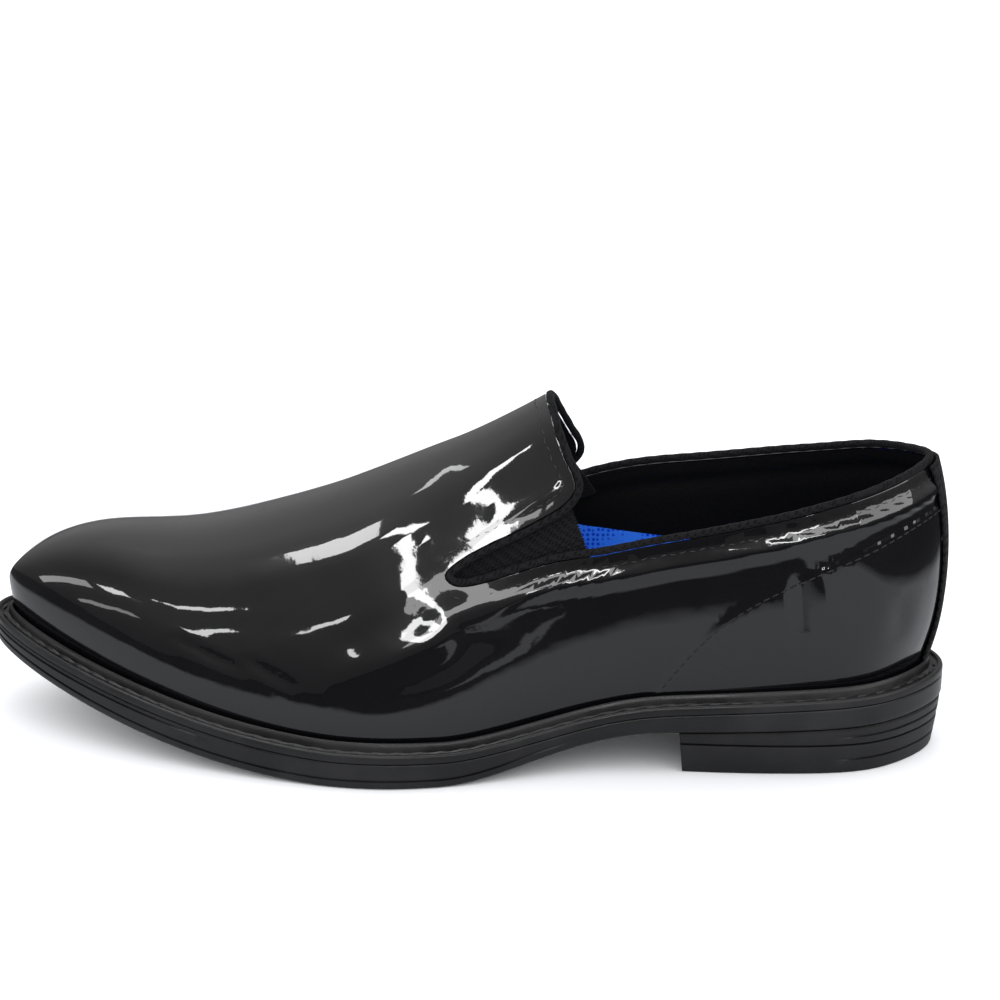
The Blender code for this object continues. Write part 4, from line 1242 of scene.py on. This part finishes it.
    def shell(self, materials: Sequence[bpy.types.Material]) -> None:
        """Outer and inner faces over one triangulated plan.

        Args:
            materials: outer and inner finish.
        """
        reach = np.array(LAST.plan_scale)
        edge = LAST.opening(self.edge_spacing)
        collar = edge[0, 1]
        lines = [LAST.seam_line(shift, side, 70) for side in Side for shift in (0.0, self.seam_width)]
        tops = [line[0, 1] for line in lines[:2]]
        feet = [line[-1, 0] for line in lines[:2]]
        foot = [u for u in np.linspace(0, 1, self.columns + 1) if all(abs(u - end) > 0.002 for end in feet)]
        foot = sorted([*foot, *feet])
        heel_w = [w for w in np.linspace(0, collar, 50) if all(abs(w - s) > 0.006 for s in tops)]
        heel_w = sorted([*heel_w, *tops])
        toe_w = list(np.linspace(0, 1, 24))
        ring = [(u, 0.0) for u in foot] + [(1.0, w) for w in toe_w[1:]]
        ring += [(1.0, 2 - w) for w in toe_w[-2::-1]]
        ring += [(u, 2.0) for u in foot[-2::-1]] + [(0.0, 2 - w) for w in heel_w[1:]]
        ring += [tuple(p) for p in edge[-2::-1]] + [(0.0, w) for w in heel_w[-2:0:-1]]
        ring = np.array(ring)
        inner, constraints = [], []
        for line in lines:
            start = len(ring) + len(inner)
            inner += [tuple(p) for p in line[1:-1]]
            ends = [int(np.argmin(np.linalg.norm((ring - p) * reach, axis=1))) for p in (line[0], line[-1])]
            chain = [ends[0], *range(start, start + len(line) - 2), ends[1]]
            constraints += list(zip(chain[:-1], chain[1:]))
        fixed = np.concatenate([ring, np.array(inner)])
        across, around = np.linspace(0, 1, self.columns + 1)[1:-1], np.linspace(0, 2, self.rows + 1)[1:-1]
        us, ws = np.meshgrid(across, around)
        grid = np.stack([us.ravel(), ws.ravel()], 1)
        away = []
        for part in np.array_split(grid, 40):
            away.append(np.linalg.norm((part[:, None] - fixed[None]) * reach, axis=-1).min(1))
        every = np.concatenate([fixed, grid[np.concatenate(away) > self.least_gap]]) * reach
        constraints = [tuple(int(i) for i in pair) for pair in constraints]
        out = delaunay_2d_cdt(every.tolist(), constraints, [list(range(len(ring)))], 1, 1e-6)
        flat = np.array([(q[0], q[1]) for q in out[0]]) / reach
        # Matching points of the two sides on the heel's and the toe's middle lines become one
        middle_w = (np.array(heel_w), np.array(toe_w))
        keys: dict = {}
        merged = []
        for i, (u, w) in enumerate(flat):
            key = ("in", i)
            for end in (0, 1):
                if abs(u - end) < 1e-6:
                    key = (end, int(np.argmin(np.abs(middle_w[end] - min(w, 2 - w)))))
            merged.append(keys.setdefault(key, len(keys)))
        first: dict = {}
        for i, m in enumerate(merged):
            first.setdefault(m, i)
        chosen = np.array([first[m] for m in range(len(keys))])
        faces = [tuple(merged[i] for i in tri) for tri in out[2]]
        faces = [tri for tri in faces if len(set(tri)) == 3]
        used = sorted({i for tri in faces for i in tri})
        renumber = {old: new for new, old in enumerate(used)}
        faces = [tuple(renumber[i] for i in tri) for tri in faces]
        self.clothe(flat[chosen[used], 0], flat[chosen[used], 1], faces, materials)

    def clothe(
        self, u: Array, w: Array, faces: Faces, materials: Sequence[bpy.types.Material]
    ) -> None:
        """Raises the plan to its two faces, joins them and gives each its material.

        Args:
            u: turns of the plan's points.
            w: around of the plan's points.
            faces: triangles of the plan.
            materials: outer and inner finish.
        """
        edge_uw = LAST.opening(self.edge_spacing)
        edge = LAST.point(edge_uw[:, 0], edge_uw[:, 1])
        lines = self.crease_lines()

        def rise(u: Array, w: Array) -> Array:
            """Relief and counter together."""
            return self.relief(u, w, edge, lines) + self.counter(u, w)

        base, normal = LAST.point(u, w), LAST.normal(u, w)
        middle = (u < 1e-6) | (u > 1 - 1e-6)
        normal[middle, 1] = 0.0
        normal = unit(normal)
        height = rise(u, w)
        ahead, behind, u0, w0, up, down = LAST.steps(u, w)
        change = (rise(ahead, w0) - rise(behind, w0))[:, None]
        along = LAST.point(ahead, w0) - LAST.point(behind, w0) + normal * change
        change = (rise(u0, up) - rise(u0, down))[:, None]
        across = LAST.point(u0, up) - LAST.point(u0, down) + normal * change
        shading = np.cross(across, along)
        shading[middle, 1] = 0.0
        shading = unit(shading)
        outside = base + normal * height[:, None]
        inside = base - normal * LAST.wall + normal * np.clip(height, -0.5, 0.5)[:, None]
        count = len(base)
        a, b, c = (outside[i] for i in faces[0])
        if np.dot(np.cross(b - a, c - a), normal[faces[0][0]]) < 0:
            faces = [tuple(reversed(tri)) for tri in faces]
        pairs = {(tri[i], tri[(i + 1) % 3]) for tri in faces for i in range(3)}
        rim = [(high, low, count + low, count + high) for low, high in pairs if (high, low) not in pairs]
        whole = faces + [tuple(count + i for i in reversed(tri)) for tri in faces] + rim
        kinds = [0] * len(faces) + [1] * len(faces) + [0] * len(rim)
        points, normals = np.concatenate([outside, inside]), np.concatenate([shading, -shading])
        make_piece("upper_fine", points, whole, materials, ["upper"], kinds, normals)

    def edge_stitches(self) -> None:
        """Zigzag row of glossy stitches in the trough beside the binding."""
        uw = LAST.opening(1.0)[:-1]
        p, n = LAST.point(uw[:, 0], uw[:, 1]), LAST.normal(uw[:, 0], uw[:, 1])
        along = unit(np.roll(p, -1, 0) - np.roll(p, 1, 0))
        into = unit(np.cross(along, n))
        if into[0, 2] > 0:
            into = -into
        picked = np.arange(3, len(p) - 3, 3)
        sway = np.where(np.arange(len(picked)) % 2 == 0, 0.2, -0.2)
        centres = p[picked] + into[picked] * (self.stitch_line + 0.1 * np.sin(picked))[:, None]
        heading = along[picked] + into[picked] * sway[:, None]
        points, faces = stitches(centres, heading, n[picked], *self.edge_stitch)
        glossy = Thread("edge_thread_glossy", "#1a1a1c", 0.4).material()
        make_piece("edge_stitches", points, faces, [glossy])

    def seam_stitches(self) -> None:
        """Row of stitches along the counter's seam, on both sides."""
        centres, heading, out = [], [], []
        for side in Side:
            line = LAST.seam_line(2.2, side, 90)
            p, n = LAST.point(line[:, 0], line[:, 1]), LAST.normal(line[:, 0], line[:, 1])
            run = walked(p)
            at = np.arange(3.0, run[-1] - 8.0, self.seam_pitch)
            centres.append(along_line(at, run, p))
            out.append(along_line(at, run, n))
            heading.append(along_line(at + 0.5, run, p) - centres[-1])
        normal = np.concatenate(out)
        middle = np.concatenate(centres) + normal * (self.counter_step + 0.02)
        points, faces = stitches(middle, np.concatenate(heading), normal, *self.seam_stitch)
        matt = Thread("seam_thread_matt", "#050506", 0.7).material()
        make_piece("seam_stitches", points, faces, [matt])


@dataclass(frozen=True)
class Trim:
    """Binding, backstay and the two elastics."""

    binding_width: float = 2.6
    binding_height: float = 2.4
    backstay_width: float = 13.0
    backstay_thick: float = 1.0
    # Share of the half width where the edge rounds off, and where the pressed stitch line runs
    backstay_edge: float = 0.86
    backstay_line: float = 0.72
    gore_thick: float = 1.2
    rib_pitch: float = 1.35
    rib_depth: float = 0.22
    # Frayed edge: depth of its teeth as a turn, and columns of the grid in each
    fray: float = 0.0025
    fray_columns: float = 6.0
    # Spacing of the binding's points and of the pulls of its stitches, in mm
    binding_step: float = 1.2
    pull_pitch: float = 5.6
    # Corners of the elastic: station, outer and inner height in mm
    gore_corners: tuple[tuple[float, float, float], ...] = (
        (0.528, 46.540, 51.220), (0.526, 57.720, 61.880), (0.366, 48.620, 58.760), (0.394, 71.500, 73.320),
    )

    def build(self) -> None:
        """Makes the four pieces."""
        self.binding(WovenCloth("binding_tape_woven", "#08080a", "#161618").material())
        embossed = WovenCloth("backstay_leather_embossed", "#0a0a0b", "#1a1a1c", 1.42857, 0.7, 0.02, 0.3)
        self.backstay(embossed.material())
        elastic = WovenCloth("gore_elastic_ribbed", "#08080a", "#151517", 0.66667, 0.9, 0.03).material()
        self.gore("gore_outer_fine", "gore_outer", Side.OUTER, elastic)
        self.gore("gore_inner_fine", "gore_inner", Side.INNER, elastic)

    def binding(self, cloth: bpy.types.Material) -> None:
        """Rounded tape over the edge of the opening, pulled in a little at each stitch.

        Args:
            cloth: finish of the tape.
        """
        edge = LAST.opening(self.binding_step)[:-1]
        u, w = edge[:, 0], edge[:, 1]
        base, normal = LAST.point(u, w), LAST.normal(u, w)
        normal[0, 1] = 0.0
        normal = unit(normal)
        along = unit(np.roll(base, -1, 0) - np.roll(base, 1, 0))
        out = unit(np.cross(along, normal))
        if out[0, 2] < 0:
            out = -out
        centre = base - normal * LAST.wall / 2 + out * (LAST.gap + self.binding_height / 2)
        run = np.arange(len(base)) * self.binding_step
        pull = 1 - 0.05 * (1 + np.sin(run * 2 * math.pi / self.pull_pitch))[:, None]
        sides, rings = 18, []
        for k in range(sides):
            high, wide = math.sin(2 * math.pi * k / sides), math.cos(2 * math.pi * k / sides)
            high, wide = (math.copysign(abs(part) ** 0.8, part) for part in (high, wide))
            round_off = out * high * self.binding_height / 2 + normal * wide * self.binding_width / 2
            rings.append(centre + round_off * pull)
        size, faces = len(base), []
        for k in range(sides):
            faces += wall(k * size, ((k + 1) % sides) * size, size)
        points = np.concatenate(rings)
        faces = outward(points, faces)
        make_piece("topline_binding_fine", points, faces, [cloth], ["topline_binding"])

    def plate(self, u: Array, w: Array, low: Array, high: Array) -> tuple[Array, Faces]:
        """Closed plate over a grid, between two distances from the upper's outer face.

        Args:
            u: turns round the plan.
            w: around of the points.
            low: distance of its inner face in mm.
            high: distance of its outer face in mm.

        Returns:
            Its points and faces.
        """
        base, normal = LAST.point(u, w), LAST.normal(u, w)
        rows, columns = u.shape
        count = rows * columns
        points = np.concatenate([(base + normal * at[..., None]).reshape(-1, 3) for at in (low, high)])
        faces = []
        for i in range(rows - 1):
            for j in range(columns - 1):
                a = i * columns + j
                quad = (a, a + 1, a + columns + 1, a + columns)
                faces += [quad, tuple(count + k for k in reversed(quad))]
        ring = list(range(columns)) + [i * columns + columns - 1 for i in range(1, rows)]
        ring += [(rows - 1) * columns + j for j in range(columns - 2, -1, -1)]
        ring += [i * columns for i in range(rows - 2, 0, -1)]
        for k, a in enumerate(ring):
            b = ring[(k + 1) % len(ring)]
            faces.append((b, a, count + a, count + b))
        return points, outward(points, faces)

    def backstay(self, leather: bpy.types.Material) -> None:
        """Strip up the heel's back with softly rounded edges.

        Args:
            leather: finish of the strip.
        """
        half = self.backstay_width / 2
        low = LAST.at_heel(LAST.welt_thick + 2.2 + 2 * LAST.gap)
        high = LAST.at_heel(LAST.collar_back + LAST.gap)
        edge = LAST.opening(2.0)
        rises = {}
        for side, points in ((1, edge[:20]), (-1, edge[::-1][:20])):
            v = np.minimum(points[:, 1], 2 - points[:, 1])
            rises[side] = (points[:, 0], v / v[0])
        stops, offsets = np.linspace(low, high, 90), np.linspace(-1, 1, 31)
        u = np.zeros((len(stops), len(offsets)))
        w = np.zeros_like(u)
        tries = np.linspace(0, 0.3, 400)
        for i, v in enumerate(stops):
            for j, share in enumerate(offsets):
                side = 1 if share >= 0 else -1
                face = LAST.half_point(tries, np.full(400, v), Side.OUTER if side > 0 else Side.INNER)
                u[i, j] = np.interp(abs(share) * half, np.abs(face[:, 1]), tries)
                drop = 1 + (np.interp(u[i, j], *rises[side]) - 1) * (v - low) / (high - low)
                w[i, j] = v * drop if side > 0 else 2 - v * drop
        hollow = 1 - eased((stops - low) / (0.3 * (high - low)))
        start = 0.5 + LAST.gap * (1 + 1.3 * hollow[:, None]) + 0 * u
        aside = np.abs(offsets)
        border = 0.45 * np.clip((aside - self.backstay_edge) / (1 - self.backstay_edge), 0, 1) ** 2
        stitch = 0.35 * bell(aside - self.backstay_line, 0.05)
        points, faces = self.plate(u, w, start, start + self.backstay_thick - (border + stitch)[None, :])
        sharpen(make_piece("backstay_fine", points, faces, [leather], ["backstay"]), 1.0)

    def gore(self, name: str, node: str, side: Side, elastic: bpy.types.Material) -> None:
        """Ribbed elastic behind a notch, its free rear edge slightly frayed.

        Args:
            name: name of the piece.
            node: CAD node that it stands for.
            side: side of the shoe.
            elastic: its finish.
        """
        which = 1 if side is Side.OUTER else 2
        found = []
        for row in self.gore_corners:
            u, v = LAST.place(np.array([row[0] * LAST.length]), np.array([row[which]]), side)
            found.append(np.array([u[0], v[0]]))
        tip_low, tip_high, rear_low, rear_high = found
        columns = 170
        s = np.linspace(0, 1, 50)[:, None, None]
        q = np.linspace(0, 1, columns)[None, :, None]
        front, rear = tip_low * (1 - q) + tip_high * q, rear_low * (1 - q) + rear_high * q
        grid = front * (1 - s) + rear * s
        teeth = np.abs(((np.arange(columns) / self.fray_columns) % 1.0) - 0.5)[None, :]
        u = grid[..., 0] + self.fray * teeth * np.clip((s[..., 0] - 0.9) / 0.1, 0, 1)
        v = grid[..., 1]
        top = -(LAST.wall / 2 + self.binding_width / 2 + LAST.gap)
        tall = abs(self.gore_corners[3][which] - self.gore_corners[2][which])
        ribs = 1 - np.abs(np.sin(math.pi * q[0, :, 0] * tall / self.rib_pitch))
        rib = self.rib_depth * ribs[None, :] + 0 * u
        w = v if side is Side.OUTER else 2 - v
        points, faces = self.plate(u, w, 0 * u + top - self.gore_thick, top - rib)
        sharpen(make_piece(name, points, faces, [elastic], [node]), 1.0)


@dataclass(frozen=True)
class Footbed:
    """Insole inside the upper, slightly cupped, in blue spacer mesh."""

    thick: float = 4.5
    cup: float = 1.5
    edge_round: float = 0.4

    def build(self) -> None:
        """Makes the insole."""
        us = np.linspace(0, 1, 91)

        def inset(u: Array) -> Array:
            """Inside the upper's wall."""
            return LAST.feather(u) + LAST.wall + 2 * LAST.gap

        def over(rise: float) -> Curve:
            """Height over the face that it lies on."""
            return lambda x: LAST.platform(x) + LAST.gap + rise

        full = self.thick + self.cup
        low = LAST.loop(us, inset, over(0.0))
        side = LAST.loop(us, inset, over(full - self.edge_round))
        high = LAST.loop(us, lambda u: inset(u) + self.edge_round, over(full))
        total, half = len(low), len(us) - 1
        faces = cap(0, half, total, True) + wall(0, total, total) + wall(total, 2 * total, total)
        points = [*low, *side, *high]
        rows = []
        for k in range(1, half):
            outer, inner = high[k], high[total - k]
            row = [2 * total + k]
            for q in np.linspace(0.92, -0.92, 15):
                middle = (outer + inner) / 2 + (outer - inner) / 2 * q
                middle[2] = float(LAST.platform(middle[0])) + LAST.gap + self.thick + self.cup * q * q
                row.append(len(points))
                points.append(middle)
            rows.append([*row, 3 * total - k])
        for a, b in zip(rows[:-1], rows[1:]):
            faces += [(a[j], b[j], b[j + 1], a[j + 1]) for j in range(len(a) - 1)]
        for j in range(len(rows[0]) - 1):
            faces.append((2 * total, rows[0][j], rows[0][j + 1]))
            faces.append((2 * total + half, rows[-1][j + 1], rows[-1][j]))
        points, mesh = np.array(points), SpacerMesh().material()
        make_piece("insole_fine", points, outward(points, faces), [mesh], ["insole"])


@dataclass(frozen=True)
class Lamp:
    """Strip light as seen from the shoe.

    Its two ends are headings from +Y to +X and heights over the floor, in degrees, and so is its width.
    """

    name: str
    start: tuple[float, float]
    end: tuple[float, float]
    width: float
    radiance: float
    distance: float = 2.2
    aim: tuple[float, float, float] = (0.11, 0.0, 0.05)

    @staticmethod
    def direction(heading: float, height: float) -> Vector:
        """Unit vector of a heading and a height in degrees."""
        a, b = math.radians(heading), math.radians(height)
        return Vector((math.sin(a) * math.cos(b), math.cos(a) * math.cos(b), math.sin(b)))


@dataclass(frozen=True)
class Studio:
    """Pale floor, soft light and the camera at the photograph's angle."""

    lamps: tuple[Lamp, ...] = (
        Lamp("arc_1", (-10.0, 17.0), (10.0, 36.0), 2.5, 20.0),
        Lamp("arc_2", (10.0, 36.0), (28.0, 49.0), 2.2, 24.0),
        Lamp("arc_3", (28.0, 49.0), (45.0, 55.0), 2.0, 24.0),
        Lamp("arc_4", (45.0, 55.0), (66.0, 54.0), 2.2, 24.0, 0.6, (0.095, 0.02, 0.085)),
        Lamp("patch", (62.0, 60.5), (86.0, 63.0), 6.0, 14.0, 0.26, (0.172, 0.02, 0.068)),
        Lamp("patch_tail", (98.0, 57.0), (122.0, 54.5), 1.8, 9.0, 0.5, (0.10, 0.0, 0.085)),
        Lamp("toe_1", (80.0, 4.0), (60.0, 24.0), 5.0, 5.0),
        Lamp("toe_2", (57.0, 27.0), (52.0, 32.0), 3.0, 14.0),
        Lamp("toe_3", (49.0, 36.0), (45.0, 40.0), 2.0, 14.0),
        Lamp("toe_4", (64.0, 4.0), (50.0, 18.0), 1.6, 4.0),
        Lamp("toe_5", (45.0, 22.0), (39.0, 27.0), 2.2, 14.0),
        Lamp("toe_6", (33.0, 28.0), (26.0, 28.0), 2.0, 14.0),
        Lamp("side_low", (-88.0, 20.0), (-32.0, 20.0), 22.0, 4.0),
        Lamp("side_middle", (-32.0, 25.0), (4.0, 27.0), 8.0, 6.0),
        Lamp("overhead", (90.0, 68.0), (-90.0, 68.0), 24.0, 4.0),
    )
    # The paper that reflections see, in metres, and how softly it ends
    paper_left: float = -0.20
    paper_right: float = 0.42
    paper_front: float = 0.185
    paper_deep: float = 0.46
    step_from: float = -0.07
    step_to: float = -0.03
    paper_edge: float = 0.05
    room: float = 1.75
    floor_reach: float = 6.0
    # Reflected world: rise of its brightness with height, darkening towards the front, and least brightness
    glow_up: tuple[tuple[float, float], ...] = ((0.0, 0.85), (0.0, 0.8))
    glow_back: tuple[tuple[float, float], ...] = ((0.35, -0.30), (0.25, 1.0))
    glow_least: float = 0.2
    # Place and turn of the camera in mm and radians, from the heel's back, and its focal length in pixels
    camera_at: tuple[float, float, float] = (113.08, 697.03, 296.64)
    yaw: float = 0.0409
    pitch: float = 0.3066
    roll: float = 0.0138
    focal: float = 2328.9
    image: float = 1000.0
    sensor: float = 36.0

    def build(self) -> None:
        """Makes the floor, the lights and the camera."""
        self.floor()
        self.world()
        for lamp in self.lamps:
            self.light(lamp)
        self.camera()

    def floor(self) -> None:
        """Large pale floor, which in reflections ends a short way in front of the shoe."""
        mesh, far = bpy.data.meshes.new("floor"), self.floor_reach
        mesh.from_pydata([(-far, -far, 0), (far, -far, 0), (far, far, 0), (-far, far, 0)], [], [(0, 1, 2, 3)])
        item = bpy.data.objects.new("floor", mesh)
        bpy.context.scene.collection.objects.link(item)
        matt = {"Roughness": 0.9, "Specular IOR Level": 0.1}
        material, tree, shader, place = new_material("floor_paper_matt", matt)
        split = add_node(tree, "ShaderNodeSeparateXYZ", {0: place})
        x, y = split.outputs["X"], split.outputs["Y"]
        step = spread((self.step_from, self.step_to), (self.paper_deep, self.paper_front))
        limit = add_node(tree, "ShaderNodeMapRange", {"Value": x, **step}).outputs[0]
        over = add_node(tree, "ShaderNodeMath", {0: y, 1: limit}, operation="SUBTRACT").outputs[0]
        shown = None
        for value, end, way in ((over, 0.0, 1), (x, self.paper_right, 1), (x, self.paper_left, -1)):
            ends = spread((end, end + way * self.paper_edge), (1.0, 0.0))
            inside = add_node(tree, "ShaderNodeMapRange", {"Value": value, **ends}).outputs[0]
            if shown is None:
                shown = inside
            else:
                pair = {0: shown, 1: inside}
                shown = add_node(tree, "ShaderNodeMath", pair, operation="MULTIPLY").outputs[0]
        mirrored = ramp(tree, shown, ((0.0, linear("#29292b")), (1.0, linear("#c4c6ca"))))
        glossy = add_node(tree, "ShaderNodeLightPath").outputs["Is Glossy Ray"]
        paper = {"Factor": glossy, 6: linear("#f4f5f7"), 7: mirrored}
        mix = add_node(tree, "ShaderNodeMix", paper, data_type="RGBA")
        tree.links.new(mix.outputs[2], shader.inputs["Base Color"])
        mesh.materials.append(material)

    def world(self) -> None:
        """Pale room: dark low down in front in reflections, grey above and behind."""
        world = bpy.data.worlds.new("room")
        bpy.context.scene.world = world
        world.use_nodes = True
        tree = world.node_tree
        tree.nodes.clear()
        place = add_node(tree, "ShaderNodeTexCoord").outputs["Generated"]
        split = add_node(tree, "ShaderNodeSeparateXYZ", {0: place})
        rising = {"Value": split.outputs["Z"], **spread(*self.glow_up)}
        lift = add_node(tree, "ShaderNodeMapRange", rising)
        backward = {"Value": split.outputs["Y"], **spread(*self.glow_back)}
        behind = add_node(tree, "ShaderNodeMapRange", backward)
        pair = {0: lift.outputs[0], 1: behind.outputs[0]}
        share = add_node(tree, "ShaderNodeMath", pair, operation="MULTIPLY")
        seen = add_node(tree, "ShaderNodeMath", {0: share.outputs[0], 1: self.glow_least}, operation="ADD")
        path = add_node(tree, "ShaderNodeLightPath")
        white = {"Color": (1.0, 1.0, 1.0, 1.0), "Strength": seen.outputs[0]}
        glossy = add_node(tree, "ShaderNodeBackground", white)
        room = add_node(tree, "ShaderNodeBackground", {"Color": linear("#fafafb"), "Strength": self.room})
        both = {0: path.outputs["Is Glossy Ray"], 1: room.outputs[0], 2: glossy.outputs[0]}
        mix = add_node(tree, "ShaderNodeMixShader", both)
        add_node(tree, "ShaderNodeOutputWorld", {"Surface": mix.outputs[0]})

    def light(self, lamp: Lamp) -> None:
        """Strip that faces the shoe and runs from its start to its end.

        Args:
            lamp: the strip's place, size and strength.
        """
        start, end = lamp.direction(*lamp.start), lamp.direction(*lamp.end)
        out = (start + end).normalized()
        along = (end - start).normalized()
        span = 2 * lamp.distance * math.tan(start.angle(end) / 2)
        broad = lamp.distance * math.radians(lamp.width)
        data = bpy.data.lights.new(lamp.name, "AREA")
        data.shape, data.size, data.size_y = "RECTANGLE", span, broad
        data.energy = lamp.radiance * math.pi * span * broad
        item = bpy.data.objects.new(lamp.name, data)
        bpy.context.scene.collection.objects.link(item)
        item.visible_diffuse = False
        item.visible_camera = False
        turned = Matrix((along, out.cross(along), out)).transposed().to_4x4()
        item.matrix_world = Matrix.Translation(Vector(lamp.aim) + out * lamp.distance) @ turned

    def camera(self) -> None:
        """Camera solved from the sole's outline in the photograph."""
        data = bpy.data.cameras.new("camera")
        data.sensor_width = self.sensor
        data.lens = self.sensor * self.focal / self.image
        data.clip_end = 50.0
        item = bpy.data.objects.new("camera", data)
        bpy.context.scene.collection.objects.link(item)
        level = math.cos(self.pitch)
        forward = Vector((math.sin(self.yaw) * level, -math.cos(self.yaw) * level, -math.sin(self.pitch)))
        right = Vector((-math.cos(self.yaw), -math.sin(self.yaw), 0.0))
        up = right.cross(forward)
        across = right * math.cos(self.roll) + up * math.sin(self.roll)
        upward = up * math.cos(self.roll) - right * math.sin(self.roll)
        turned = Matrix((across, upward, -forward)).transposed().to_4x4()
        x, y, z = self.camera_at
        place = Vector(((x - LAST.origin_x) * MM, y * MM, z * MM))
        item.matrix_world = Matrix.Translation(place) @ turned
        bpy.context.scene.camera = item
        bpy.context.scene.view_settings.view_transform = "Standard"


def main() -> None:
    """Builds the shoe piece by piece, then the studio."""
    logging.basicConfig(level=logging.INFO, format="%(name)s %(message)s")
    for part in (Sole(), Welt(), Upper(), Trim(), Footbed(), Studio()):
        part.build()
        LOG.info("built %s", type(part).__name__)


if __name__ == "__main__":
    main()
